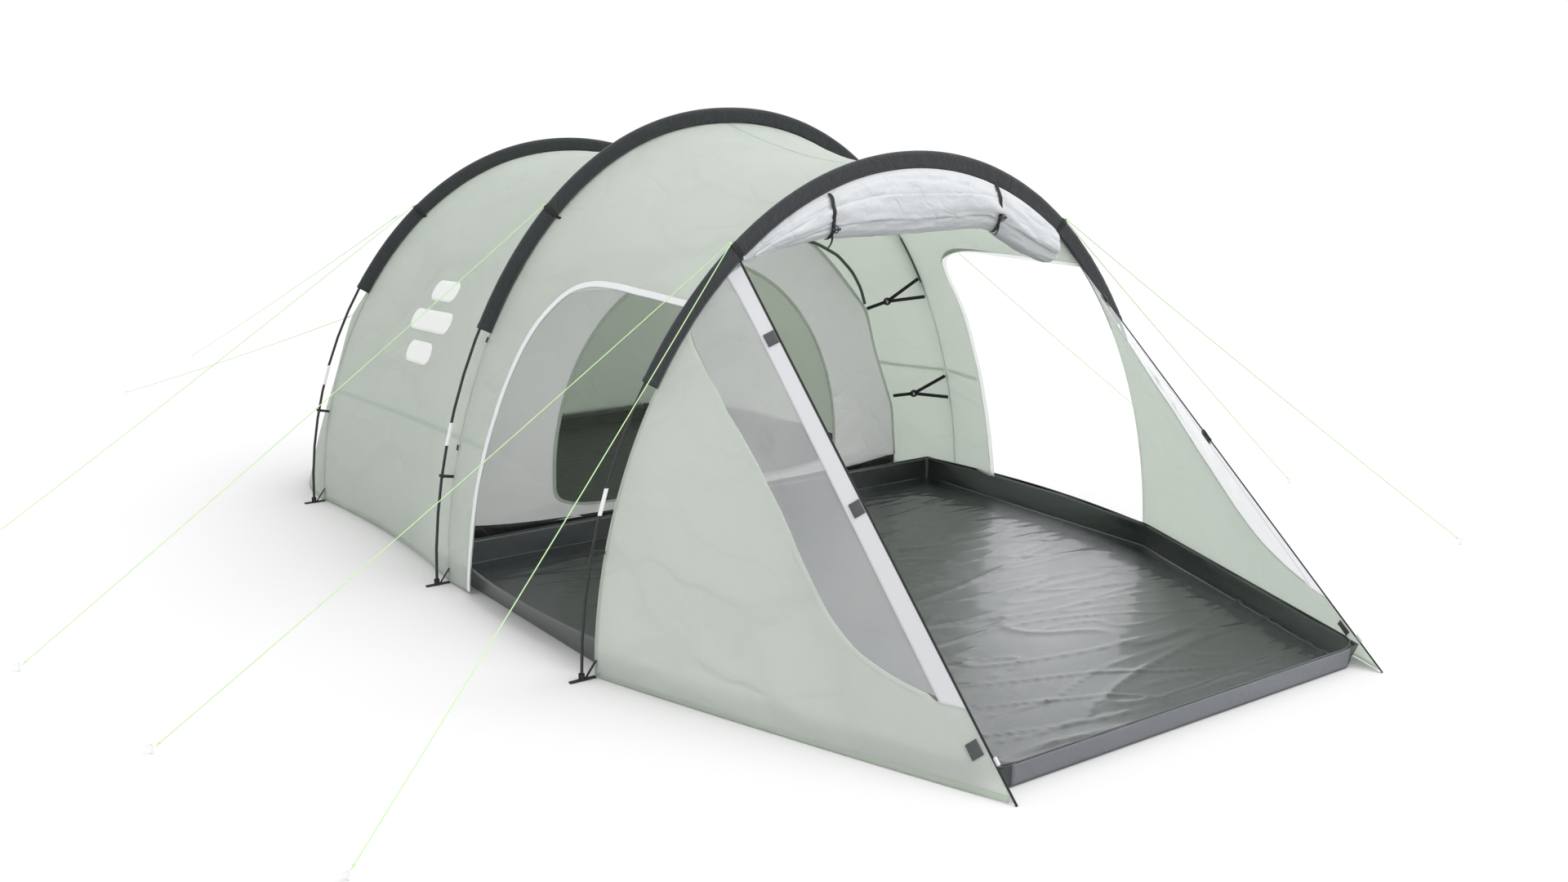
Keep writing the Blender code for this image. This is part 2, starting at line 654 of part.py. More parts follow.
def door_outline(grow=0.0, count=40):
    """The D of the mesh door, taken round at equal angles about its middle."""
    w, rise, level, sill = DOOR
    w, rise, sill = w + grow, rise + grow, sill - grow
    ring = []
    for k in range(count):
        a = 2 * math.pi * k / count + math.pi / count
        c, s = math.cos(a), math.sin(a)
        if s >= 0:
            ring.append((w * c, level + rise * s))
        else:
            ring.append((w * math.copysign(abs(c) ** 0.45, c), level - (level - sill) * abs(s) ** 0.45))
    return ring


def make_inner_front():
    """The front wall, with the hole for its mesh door."""
    ring = door_outline(0.002)
    mid = (0.0, DOOR[2])
    outline = [tuple(p) for p in inner_arch(60)]
    loop = np.array(outline + [(x, 0.102) for x in np.linspace(1.0, -1.0, 60)[1:-1]])
    angles = np.arctan2(loop[:, 1] - mid[1], loop[:, 0])
    outer = []
    for x, z in ring:
        a = math.atan2(z - mid[1], x)
        d = np.abs((angles - a + math.pi) % (2 * math.pi) - math.pi)
        outer.append(tuple(loop[int(np.argmin(d))]))
    verts = []
    for f in (0.0, 0.5, 1.0):
        for (x0, z0), (x1, z1) in zip(ring, outer):
            verts.append((x0 * (1 - f) + x1 * f, INNER_Y, z0 * (1 - f) + z1 * f))
    n = len(ring)
    faces = [(r * n + j, r * n + (j + 1) % n, (r + 1) * n + (j + 1) % n, (r + 1) * n + j) for r in range(2) for j in range(n)]
    return panel("inner_front_wall", verts, faces, "inner", 0.0015)


def make_inner_door():
    ring = door_outline(-0.003)
    mid = (0.0, DOOR[2] + 0.15)
    verts = [(mid[0], INNER_Y, mid[1])]
    for f in (0.5, 1.0):
        verts += [(mid[0] + (x - mid[0]) * f, INNER_Y, mid[1] + (z - mid[1]) * f) for x, z in ring]
    n = len(ring)
    faces = [(0, 1 + j, 1 + (j + 1) % n) for j in range(n)]
    faces += [(1 + j, 1 + n + j, 1 + n + (j + 1) % n, 1 + (j + 1) % n) for j in range(n)]
    return panel("inner_mesh_door", verts, faces, "mesh", 0.0012)


make_inner_canopy()
make_inner_front()
make_inner_door()


# ---------------------------------------------------------------- hooks that hang the inner from the fly
def make_hanger(word, side, level, ring, inner_end, upper, lower):
    """A ring with one elastic arm to the inner and two to the fly seam, joined into one piece."""
    def place(p):
        return Vector((p[0] * -side, p[1], p[2]))

    ring, ends = place(ring), [place(inner_end), place(upper), place(lower)]
    mesh = bpy.data.meshes.new(f"inner_hanger_{level}_{word}")
    bm = bmesh.new()
    facing = (ends[0] - ring).normalized().to_track_quat("Z", "Y").to_matrix().to_4x4()
    bmesh.ops.create_icosphere(bm, subdivisions=1, radius=0.0085, matrix=Matrix.Translation(ring))
    bm.to_mesh(mesh)
    bm.free()
    obj = bpy.data.objects.new(mesh.name, mesh)
    link(obj, "webbing", 60.0)
    for k, end in enumerate(ends):
        span = end - ring
        arm = bpy.data.meshes.new(f"arm_{level}_{word}_{k}")
        bm = bmesh.new()
        turn = span.normalized().to_track_quat("Z", "Y").to_matrix().to_4x4()
        bmesh.ops.create_cone(bm, cap_ends=True, segments=6, radius1=0.0025, radius2=0.0025, depth=span.length,
                              matrix=Matrix.Translation(ring + span / 2) @ turn)
        bm.to_mesh(arm)
        bm.free()
        tool = bpy.data.objects.new(arm.name, arm)
        bpy.context.scene.collection.objects.link(tool)
        tool.hide_render = True
        tool.display_type = "WIRE"
        mod = obj.modifiers.new(f"arm_{k}", "BOOLEAN")
        mod.operation = "UNION"
        mod.object = tool
    return obj


for hand, word in ((1, "left"), (-1, "right")):
    make_hanger(word, hand, "upper", (0.888, 0.270, 0.818), (0.848, 0.344, 0.784), (0.944, 0.170, 0.892), (0.984, 0.170, 0.822))
    make_hanger(word, hand, "lower", (1.040, 0.270, 0.402), (1.000, 0.343, 0.384), (1.086, 0.170, 0.472), (1.110, 0.170, 0.388))


# ---------------------------------------------------------------- guy lines and their pegs
def guy_anchor(key, side):
    """Where the guy's loop leaves the sleeve: just outside the hoop."""
    p, n = arch(HOOPS[key], [GUY_T[key]], -0.004)
    return Vector((p[0, 0] * side, HOOPS[key][0], p[0, 1]))


GUYS = {
    "rear_left": (guy_anchor("rear", 1), (-2.530, 1.470)),
    "rear_wall_upper_left": (Vector((-0.754, 1.578, 1.163)), (-0.710, 5.300)),
    "rear_wall_lower_left": (Vector((-0.978, 1.602, 0.751)), (-1.335, 4.304)),
    "middle_left": (guy_anchor("middle", 1), (-2.590, 0.115)),
    "middle_right": (guy_anchor("middle", -1), (2.590, 0.115)),
    "front_left_back": (guy_anchor("front", 1), (-2.410, -0.727)),
    "front_left_fore": (guy_anchor("front", 1), (-2.220, -1.668)),
    "front_right_back": (guy_anchor("front", -1), (2.385, -0.715)),
    "front_right_fore": (guy_anchor("front", -1), (2.160, -1.668)),
}
PEG_TOP = 0.016


def guy_line(anchor, peg, fork):
    """A taut guy: straight but for the slight dip of its own weight."""
    start = anchor + Vector((math.copysign(0.006, anchor.x), fork, 0.0))
    end = Vector((peg[0], peg[1], PEG_TOP))
    away = (start - end).normalized()
    end = end + away * 0.007
    pts = []
    for k in range(13):
        s = k / 12
        p = start.lerp(end, s)
        p.z -= 0.010 * 4 * s * (1 - s)
        pts.append(p)
    return pts


def make_guy(key):
    anchor, peg = GUYS[key]
    fork = 0.004 if key.endswith("back") else -0.004 if key.endswith("fore") else 0.0
    data = bpy.data.curves.new(f"guy_{key}", "CURVE")
    data.dimensions = "3D"
    data.bevel_depth = GUY_R
    data.bevel_resolution = 1
    data.use_fill_caps = True
    data.render_resolution_u = 0
    pts = guy_line(anchor, peg, fork)
    spline = data.splines.new("POLY")
    spline.points.add(len(pts) - 1)
    for point, p in zip(spline.points, pts):
        point.co = (*p, 1.0)
    obj = bpy.data.objects.new(data.name, data)
    link(obj, "cord")
    # the peg: a round pin bent over at its head, driven in beside the cord's loop
    toward = Vector((anchor.x - peg[0], anchor.y - peg[1], 0.0)).normalized()
    base = Vector((peg[0], peg[1], 0.0)) - toward * 0.004
    line = [base + Vector((0, 0, 0.0002)), base + Vector((0, 0, 0.010)), base + Vector((0, 0, 0.0215)),
            base + Vector((0, 0, 0.0265)) - toward * 0.004, base + Vector((0, 0, 0.0255)) - toward * 0.010,
            base + Vector((0, 0, 0.020)) - toward * 0.013]
    side_axis = toward.cross(Vector((0, 0, 1)))
    verts = []
    for i, p in enumerate(line):
        a = line[max(i - 1, 0)]
        b = line[min(i + 1, len(line) - 1)]
        d = (b - a).normalized()
        n = d.cross(side_axis).normalized()
        verts += [p + PEG_R * (math.cos(w) * n + math.sin(w) * side_axis) for w in np.arange(8) * math.pi / 4]
    m = len(line)
    faces = [(i * 8 + j, i * 8 + (j + 1) % 8, (i + 1) * 8 + (j + 1) % 8, (i + 1) * 8 + j) for i in range(m - 1) for j in range(8)]
    faces += [tuple(range(8)), tuple((m - 1) * 8 + j for j in range(8))]
    mesh_object(f"peg_{key}", verts, faces, "steel", smooth=50.0)


for key in GUYS:
    make_guy(key)
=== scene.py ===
"""Tunnel tent: the visual model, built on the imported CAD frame. Metres, +Z up, the porch faces -Y."""

import math

import bmesh
import bpy
import numpy as np
from mathutils import Matrix, Vector, noise


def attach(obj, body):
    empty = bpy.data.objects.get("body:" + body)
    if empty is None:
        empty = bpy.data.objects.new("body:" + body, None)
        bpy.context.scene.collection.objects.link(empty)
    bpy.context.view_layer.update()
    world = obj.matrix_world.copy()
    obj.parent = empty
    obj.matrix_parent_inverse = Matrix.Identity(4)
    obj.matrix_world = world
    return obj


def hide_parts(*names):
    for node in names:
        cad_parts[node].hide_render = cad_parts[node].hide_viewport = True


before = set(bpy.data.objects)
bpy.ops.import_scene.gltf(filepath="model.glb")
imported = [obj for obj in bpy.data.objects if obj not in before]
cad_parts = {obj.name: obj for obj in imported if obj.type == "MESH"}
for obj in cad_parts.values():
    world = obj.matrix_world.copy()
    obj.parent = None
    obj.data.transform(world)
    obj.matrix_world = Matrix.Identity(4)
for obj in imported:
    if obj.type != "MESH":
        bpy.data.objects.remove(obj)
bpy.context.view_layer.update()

# ---------------------------------------------------------------- sizes shared with the CAD
REAR = (1.469, 1.240, 1.484, 0.976, 1.037)
MIDDLE = (0.150, 1.250, 1.636, 0.934, 1.054)
FRONT = (-0.934, 1.253, 1.518, 0.981, 1.041)
HOOPS = {"rear": REAR, "middle": MIDDLE, "front": FRONT}
POLE_INSET = 0.0095
SLEEVE_END = {"rear": 0.2195, "middle": 0.204, "front": 0.212}
GUY_T = {"rear": 0.3185, "middle": 0.3125, "front": 0.3265}
FLY_INSET = 0.057
ROOF_SAG = 0.044
BACK_Y = 2.277
TIP = (0.7535, -2.277)
WING_TOP = 0.3125
WING_APEX = (0.668, 1.211)
STRIP_LOW, STRIP_HIGH = 0.075, 0.048
FLOOR = [(1.150, 0.290), (1.144, -0.982), (0.702, -2.192)]
INNER_Y = 0.350
INNER_BACK = 2.080
DOOR = (0.665, 0.79, 0.25, 0.130)
BODY = "tent"

# ---------------------------------------------------------------- camera
camera_data = bpy.data.cameras.new("camera")
camera_data.lens = 35.324
camera_data.sensor_width = 36.0
camera_data.clip_end = 300.0
camera = bpy.data.objects.new("camera", camera_data)
camera.location = (-3.2373, -4.7818, 1.7508)
camera.rotation_euler = (math.pi / 2 - 0.23286, 0.0, -0.61741)
bpy.context.scene.collection.objects.link(camera)
bpy.context.scene.camera = camera


# ---------------------------------------------------------------- materials
def add(nt, kind, **inputs):
    node = nt.nodes.new(kind)
    for key, value in inputs.items():
        if key.startswith("_"):
            setattr(node, key[1:], value)
        else:
            name = key.replace("__", " ")
            node.inputs[name].default_value = value
    return node


def wire(nt, out, inp):
    nt.links.new(out, inp)


def shade(colour, factor):
    return tuple(min(c * factor, 1.0) for c in colour[:3]) + (1.0,)


def material(name, colour, rough, *, weave=0.0012, weave_depth=0.00025, crease=0.0, crease_scale=3.0, wave=0.0,
             tone=0.05, rough_swing=0.06, through=0.0, through_colour=None, alpha=None, metallic=0.0, sheen=0.0,
             coat=0.0, specular=0.5, tone_scale=2.0, crease_dark=0.0, ior=1.5, tint=None):
    """A woven or moulded surface: tone and roughness that wander, a weave, and creases with crisp edges."""
    mat = bpy.data.materials.new(name)
    mat.use_nodes = True
    nt = mat.node_tree
    shader = nt.nodes["Principled BSDF"]
    shader.inputs["Metallic"].default_value = metallic
    shader.inputs["Specular IOR Level"].default_value = specular
    shader.inputs["Sheen Weight"].default_value = sheen
    shader.inputs["Coat Weight"].default_value = coat
    shader.inputs["IOR"].default_value = ior
    if tint:
        shader.inputs["Specular Tint"].default_value = (*tint, 1.0)
        shader.inputs["Coat Tint"].default_value = (*tint, 1.0)
    shader.inputs["Coat Roughness"].default_value = 0.12
    place = nt.nodes.new("ShaderNodeTexCoord")
    # colour that wanders a little, as cloth does where it is dusty or pulled; on the clear window a strong wander is
    # painted light and shade for its folds
    wander = add(nt, "ShaderNodeTexNoise", Scale=tone_scale, Detail=6.0, Roughness=0.62)
    wire(nt, place.outputs["Object"], wander.inputs["Vector"])
    mix = add(nt, "ShaderNodeMix", _data_type="RGBA")
    mix.inputs[6].default_value = shade(colour, 1.0 - tone)
    mix.inputs[7].default_value = shade(colour, 1.0 + tone)
    wire(nt, wander.outputs["Fac"], mix.inputs[0])
    colour_out = mix.outputs[2]
    # roughness
    swing = add(nt, "ShaderNodeMapRange")
    swing.inputs["To Min"].default_value = max(rough - rough_swing, 0.02)
    swing.inputs["To Max"].default_value = min(rough + rough_swing, 1.0)
    fine = add(nt, "ShaderNodeTexNoise", Scale=tone_scale * 9.0, Detail=4.0)
    wire(nt, place.outputs["Object"], fine.inputs["Vector"])
    wire(nt, fine.outputs["Fac"], swing.inputs["Value"])
    wire(nt, swing.outputs["Result"], shader.inputs["Roughness"])
    normal = None
    if weave:
        warp = add(nt, "ShaderNodeTexWave", _bands_direction="X", Scale=0.314 / weave, Distortion=0.6, Detail=1.0)
        weft = add(nt, "ShaderNodeTexWave", _bands_direction="Y", Scale=0.314 / weave, Distortion=0.6, Detail=1.0)
        both = add(nt, "ShaderNodeMath", _operation="ADD")
        for k, tex in enumerate((warp, weft)):
            wire(nt, place.outputs["UV"], tex.inputs["Vector"])
            wire(nt, tex.outputs["Fac"], both.inputs[k])
        bump = add(nt, "ShaderNodeBump", Strength=0.45, Distance=weave_depth)
        wire(nt, both.outputs[0], bump.inputs["Height"])
        normal = bump.outputs["Normal"]
        # threads show as a faint change of tone
        thread = add(nt, "ShaderNodeMix", _data_type="RGBA")
        thread.blend_type = "MULTIPLY"
        span = add(nt, "ShaderNodeMapRange")
        span.inputs["From Max"].default_value = 2.0
        span.inputs["To Min"].default_value = 0.90
        span.inputs["To Max"].default_value = 1.06
        wire(nt, both.outputs[0], span.inputs["Value"])
        wire(nt, colour_out, thread.inputs[6])
        wire(nt, span.outputs["Result"], thread.inputs[7])
        thread.inputs[0].default_value = 0.6
        colour_out = thread.outputs[2]
    if crease:
        bend = add(nt, "ShaderNodeTexNoise", Scale=crease_scale * 0.7, Detail=3.0)
        wire(nt, place.outputs["Object"], bend.inputs["Vector"])
        offset = add(nt, "ShaderNodeVectorMath", _operation="MULTIPLY_ADD")
        offset.inputs[1].default_value = (0.55, 0.55, 0.55)
        wire(nt, bend.outputs["Color"], offset.inputs[0])
        wire(nt, place.outputs["Object"], offset.inputs[2])
        lines = None
        for k, (size, turn) in enumerate(((crease_scale, (0.3, 0.9, 0.4)), (crease_scale * 2.3, (1.1, 0.2, 0.8)))):
            spin = add(nt, "ShaderNodeMapping")
            spin.inputs["Rotation"].default_value = turn
            spin.inputs["Scale"].default_value = (1.0, 0.42, 1.0)
            wire(nt, offset.outputs[0], spin.inputs["Vector"])
            cell = add(nt, "ShaderNodeTexVoronoi", _feature="DISTANCE_TO_EDGE", Scale=size)
            wire(nt, spin.outputs["Vector"], cell.inputs["Vector"])
            edge = add(nt, "ShaderNodeMapRange", _interpolation_type="SMOOTHSTEP")
            edge.inputs["From Max"].default_value = 0.11
            edge.inputs["To Max"].default_value = 1.0 / (1 + k)
            wire(nt, cell.outputs["Distance"], edge.inputs["Value"])
            if lines is None:
                lines = edge.outputs["Result"]
            else:
                total = add(nt, "ShaderNodeMath", _operation="ADD")
                wire(nt, lines, total.inputs[0])
                wire(nt, edge.outputs["Result"], total.inputs[1])
                lines = total.outputs[0]
        # painted shade: with crease_dark the colour is darkened along the crease lines, standing for the shade that
        # falls in them
        if crease_dark:
            fade = add(nt, "ShaderNodeMapRange")
            fade.inputs["From Max"].default_value = 1.5
            fade.inputs["To Min"].default_value = 1.0 - crease_dark
            fade.inputs["To Max"].default_value = 1.0
            wire(nt, lines, fade.inputs["Value"])
            crease_shade = add(nt, "ShaderNodeMix", _data_type="RGBA")
            crease_shade.blend_type = "MULTIPLY"
            crease_shade.inputs[0].default_value = 1.0
            wire(nt, colour_out, crease_shade.inputs[6])
            wire(nt, fade.outputs["Result"], crease_shade.inputs[7])
            colour_out = crease_shade.outputs[2]
        soft = add(nt, "ShaderNodeTexNoise", Scale=crease_scale * 1.6, Detail=5.0, Roughness=0.55, Distortion=0.8)
        wire(nt, place.outputs["Object"], soft.inputs["Vector"])
        total = add(nt, "ShaderNodeMath", _operation="MULTIPLY_ADD")
        total.inputs[1].default_value = 1.6
        wire(nt, soft.outputs["Fac"], total.inputs[0])
        wire(nt, lines, total.inputs[2])
        bump = add(nt, "ShaderNodeBump", Strength=0.6, Distance=crease)
        wire(nt, total.outputs[0], bump.inputs["Height"])
        if normal:
            wire(nt, normal, bump.inputs["Normal"])
        normal = bump.outputs["Normal"]
    if wave:
        grain = add(nt, "ShaderNodeTexNoise", Scale=wave, Detail=5.0, Roughness=0.6)
        wire(nt, place.outputs["Object"], grain.inputs["Vector"])
        bump = add(nt, "ShaderNodeBump", Strength=0.25, Distance=0.0006)
        wire(nt, grain.outputs["Fac"], bump.inputs["Height"])
        if normal:
            wire(nt, normal, bump.inputs["Normal"])
        normal = bump.outputs["Normal"]
    wire(nt, colour_out, shader.inputs["Base Color"])
    if normal:
        wire(nt, normal, shader.inputs["Normal"])
    if alpha is not None:
        shader.inputs["Alpha"].default_value = alpha
    if through:
        glow = add(nt, "ShaderNodeBsdfTranslucent")
        glow.inputs["Color"].default_value = (*(through_colour or colour)[:3], 1.0)
        if normal:
            wire(nt, normal, glow.inputs["Normal"])
        blend = add(nt, "ShaderNodeMixShader")
        blend.inputs[0].default_value = through
        wire(nt, shader.outputs[0], blend.inputs[1])
        wire(nt, glow.outputs[0], blend.inputs[2])
        wire(nt, blend.outputs[0], nt.nodes["Material Output"].inputs["Surface"])
    return mat


MAT = {
    # fly cloth: crease_dark paints shade along its crease lines
    "fly": material("fly_cloth", (0.735, 0.770, 0.733), 0.60, weave=0.0016, weave_depth=0.00030, crease=0.0062, crease_scale=2.3,
                    tone=0.030, through=0.56, through_colour=(0.920, 0.962, 0.912), sheen=0.05, specular=0.38, crease_dark=0.045),
    "hem": material("fly_hem", (0.690, 0.730, 0.688), 0.64, weave=0.0016, tone=0.04, through=0.72, through_colour=(0.92, 0.955, 0.91),
                    specular=0.3),
    "sleeve": material("sleeve_cloth", (0.024, 0.028, 0.032), 0.68, weave=0.0018, weave_depth=0.0005, crease=0.0011, crease_scale=9.0,
                       tone=0.16, sheen=0.22, specular=0.35),
    "webbing": material("black_webbing", (0.014, 0.0145, 0.016), 0.72, weave=0.0022, weave_depth=0.0006, tone=0.15, tone_scale=30.0),
    "plastic": material("black_plastic", (0.014, 0.0145, 0.016), 0.38, weave=0.0, wave=320.0, tone=0.12, tone_scale=25.0),
    "slider": material("slider_plastic", (0.60, 0.61, 0.63), 0.36, weave=0.0, wave=320.0, tone=0.10, tone_scale=25.0),
    # clear window: its strong tone paints lighter and darker patches, painted light and shade standing for the light
    # on its folds
    "window": material("clear_window", (0.795, 0.815, 0.870), 0.20, weave=0.0, crease=0.0080, crease_scale=1.5, tone=0.30, tone_scale=2.6,
                       rough_swing=0.05, alpha=0.40, specular=0.6, through=0.25, through_colour=(0.88, 0.89, 0.92)),
    "inner": material("inner_cloth", (0.850, 0.875, 0.855), 0.80, weave=0.0022, weave_depth=0.0004, crease=0.0040, crease_scale=2.6,
                      tone=0.04, through=0.88, through_colour=(0.97, 0.985, 0.965), sheen=0.06, specular=0.2),
    # the inner's front wall: a near-white copy of the inner cloth with little translucency, painted light standing for
    # the light that reaches it through the porch
    "inner_front": material("inner_front_cloth", (0.975, 0.982, 0.982), 0.80, weave=0.0022, weave_depth=0.0004, crease=0.0035,
                            crease_scale=2.6, tone=0.03, through=0.08, through_colour=(0.94, 0.965, 0.95), sheen=0.06, specular=0.2),
    "mesh": material("insect_mesh", (0.200, 0.232, 0.192), 0.85, weave=0.0030, weave_depth=0.0008, tone=0.10, alpha=0.27, specular=0.15),
    "tray": material("inner_floor_cloth", (0.012, 0.013, 0.0135), 0.50, weave=0.0030, weave_depth=0.0005, crease=0.004, crease_scale=5.0, tone=0.15),
    "film": material("groundsheet_film", (0.012, 0.016, 0.013), 0.16, weave=0.0042, weave_depth=0.0006, crease=0.0012, crease_scale=1.7,
                     tone=0.14, rough_swing=0.05, specular=0.9, coat=0.45, ior=1.52, tint=(0.93, 0.965, 1.0)),
    # a paler copy of the groundsheet film for the outside of its front wall: painted reflection of the bright floor
    # and horizon
    "film_painted_reflection": material("groundsheet_painted_reflection", (0.145, 0.155, 0.170), 0.42, weave=0.0042, weave_depth=0.0005, crease=0.0015, crease_scale=4.0,
                          tone=0.14, specular=0.5),
    "roll": material("door_cloth", (0.705, 0.730, 0.750), 0.74, weave=0.0016, crease=0.0022, crease_scale=5.5, tone=0.025,
                     through=0.14, through_colour=(0.84, 0.87, 0.88), sheen=0.15, specular=0.25),
    "trim": material("trim_tape", (0.765, 0.785, 0.795), 0.60, weave=0.0018, weave_depth=0.0004, tone=0.02, specular=0.35),
    # a paler, more translucent copy of the trim tape for its inner faces and the right door: painted light, so the
    # tape seen from inside reads as bright as the glowing cloth
    "trim_lit_copy": material("trim_tape_lit_copy", (0.800, 0.815, 0.820), 0.60, weave=0.0018, weave_depth=0.0004, tone=0.02, specular=0.35,
                          through=0.56, through_colour=(0.90, 0.915, 0.91)),
    "seam": material("seam_stitching", (0.630, 0.670, 0.630), 0.70, weave=0.0065, weave_depth=0.0008, tone=0.08, tone_scale=14.0,
                     through=0.62, through_colour=(0.88, 0.925, 0.87), specular=0.25),
    "band": material("zip_band_tape", (0.650, 0.660, 0.680), 0.60, weave=0.0018, weave_depth=0.0004, tone=0.02, specular=0.35),
    # a paler, more translucent copy of the zip band for the right wing, which stands in shade: partly painted light,
    # partly light let through
    "band_lit_copy": material("zip_band_tape_lit_copy", (0.700, 0.712, 0.735), 0.60, weave=0.0018, weave_depth=0.0004, tone=0.02, through=0.78,
                          through_colour=(0.93, 0.935, 0.95), specular=0.35),
    "patch": material("patch_webbing", (0.060, 0.064, 0.070), 0.60, weave=0.0024, weave_depth=0.0007, tone=0.30, tone_scale=22.0, sheen=0.2),
    "olive": material("dark_olive_strip", (0.085, 0.095, 0.072), 0.70, weave=0.0018, tone=0.12, tone_scale=18.0),
    "cord": material("guy_cord", (0.530, 0.760, 0.390), 0.60, weave=0.0, wave=600.0, tone=0.10, tone_scale=60.0),
    "steel": material("peg_steel", (0.90, 0.905, 0.91), 0.34, weave=0.0, wave=240.0, tone=0.06, metallic=1.0, tone_scale=40.0),
    "mark": material("printed_mark", (0.80, 0.825, 0.80), 0.50, weave=0.0016, tone=0.02),
}


def pole_material():
    """Dark fibreglass with a resin gloss, and a pale ferrule where the sections of a leg join."""
    mat = material("pole_glassfibre", (0.011, 0.0115, 0.0125), 0.30, weave=0.0, wave=180.0, tone=0.2, tone_scale=30.0, coat=0.3)
    nt = mat.node_tree
    shader = nt.nodes["Principled BSDF"]
    old = shader.inputs["Base Color"].links[0].from_socket
    place = nt.nodes.new("ShaderNodeTexCoord")
    split = nt.nodes.new("ShaderNodeSeparateXYZ")
    wire(nt, place.outputs["Object"], split.inputs[0])
    low = add(nt, "ShaderNodeMath", _operation="GREATER_THAN")
    low.inputs[1].default_value = 0.4985
    high = add(nt, "ShaderNodeMath", _operation="LESS_THAN")
    high.inputs[1].default_value = 0.5775
    both = add(nt, "ShaderNodeMath", _operation="MULTIPLY")
    for k, node in enumerate((low, high)):
        wire(nt, split.outputs["Z"], node.inputs[0])
        wire(nt, node.outputs[0], both.inputs[k])
    mix = add(nt, "ShaderNodeMix", _data_type="RGBA")
    mix.inputs[7].default_value = (0.80, 0.81, 0.82, 1.0)
    wire(nt, both.outputs[0], mix.inputs[0])
    wire(nt, old, mix.inputs[6])
    wire(nt, mix.outputs[2], shader.inputs["Base Color"])
    return mat


MAT["pole"] = pole_material()


# ---------------------------------------------------------------- mesh helpers
def paint_node(name, mat):
    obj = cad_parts[name]
    obj.data.materials.clear()
    obj.data.materials.append(mat)


def finish_object(name, mesh, mat, replaces=(), body=BODY):
    obj = bpy.data.objects.new(name, mesh)
    mesh.materials.append(MAT[mat])
    bpy.context.scene.collection.objects.link(obj)
    mesh.shade_smooth()
    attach(obj, body)
    if replaces:
        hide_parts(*replaces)
    return obj


def grid_area(P):
    a = P[1:, :-1] - P[:-1, :-1]
    b = P[:-1, 1:] - P[:-1, :-1]
    return float(np.linalg.norm(np.cross(a, b), axis=2).sum())


def surf(name, P, mat, thick=0.0016, replaces=(), wrap=False, caps=False, held=None, keep=None,
         body=BODY, offset=0.0, sub=0):
    """A surface through a grid of points, with its UV in metres; thick gives it two faces and a rim."""
    P = np.asarray(P, float)
    rows, cols = P.shape[:2]
    mesh = bpy.data.meshes.new(name)
    faces = []
    last = cols if wrap else cols - 1
    for r in range(rows - 1):
        for c in range(last):
            if keep is None or keep(r, c):
                d = (c + 1) % cols
                faces.append((r * cols + c, r * cols + d, (r + 1) * cols + d, (r + 1) * cols + c))
    if caps:
        faces += [tuple(range(cols))[::-1], tuple((rows - 1) * cols + c for c in range(cols))]
    mesh.from_pydata([tuple(p) for p in P.reshape(-1, 3)], [], faces)
    run_r = np.r_[0.0, np.cumsum(np.linalg.norm(np.diff(P, axis=0), axis=2).mean(1))]
    run_c = np.r_[0.0, np.cumsum(np.linalg.norm(np.diff(P, axis=1), axis=2).mean(0))]
    layer = mesh.uv_layers.new(name="UVMap")
    index = np.empty(len(mesh.loops), np.int32)
    mesh.loops.foreach_get("vertex_index", index)
    uv = np.stack([run_c[index % cols], run_r[index // cols]], -1)
    layer.data.foreach_set("uv", uv.astype(np.float32).ravel())
    bm = bmesh.new()
    bm.from_mesh(mesh)
    bmesh.ops.remove_doubles(bm, verts=bm.verts, dist=2e-5)
    bmesh.ops.dissolve_degenerate(bm, dist=1e-6, edges=bm.edges)
    loose = [v for v in bm.verts if not v.link_faces]
    bmesh.ops.delete(bm, geom=loose, context="VERTS")
    bmesh.ops.recalc_face_normals(bm, faces=bm.faces)
    bm.to_mesh(mesh)
    bm.free()
    obj = finish_object(name, mesh, mat, replaces, body)
    if sub:
        mod = obj.modifiers.new("smooth", "SUBSURF")
        mod.levels = mod.render_levels = sub
    if thick:
        mod = obj.modifiers.new("thickness", "SOLIDIFY")
        mod.thickness = thick
        mod.offset = offset
        mod.use_rim = True
    if held:
        area = sum(((np.linalg.norm(np.cross(
            np.array(mesh.vertices[f.vertices[1]].co) - np.array(mesh.vertices[f.vertices[0]].co),
            np.array(mesh.vertices[f.vertices[2]].co) - np.array(mesh.vertices[f.vertices[0]].co))) / 2)
            for f in ()), 0.0) or sum(f.area for f in mesh.polygons)
        wide, long = float(run_c[-1]), float(run_r[-1])
        if wide * long < area:
            long = area / wide * 1.01
        if area < 0.32 * wide * long:
            long = area / (0.5 * wide)
    return obj


def unit(v):
    v = np.asarray(v, float)
    return v / np.maximum(np.linalg.norm(v, axis=-1, keepdims=True), 1e-9)


def ribbon(name, line, across, width, mat, lift=None, thick=0.0014, cols=4, held=None,
           crown=0.0, body=BODY, replaces=()):
    """A tape along a line: across is the direction of its width at each point, and lift moves it off the cloth."""
    line = np.asarray(line, float)
    across = unit(across)
    if lift is not None:
        line = line + lift
    tangent = unit(np.gradient(line, axis=0))
    normal = unit(np.cross(tangent, across))
    rows = []
    for k in np.linspace(-0.5, 0.5, cols):
        rows.append(line + across * (k * width) + normal * (crown * (1 - 4 * k * k)))
    return surf(name, np.stack(rows, 1), mat, thick, held=held, body=body, replaces=replaces)


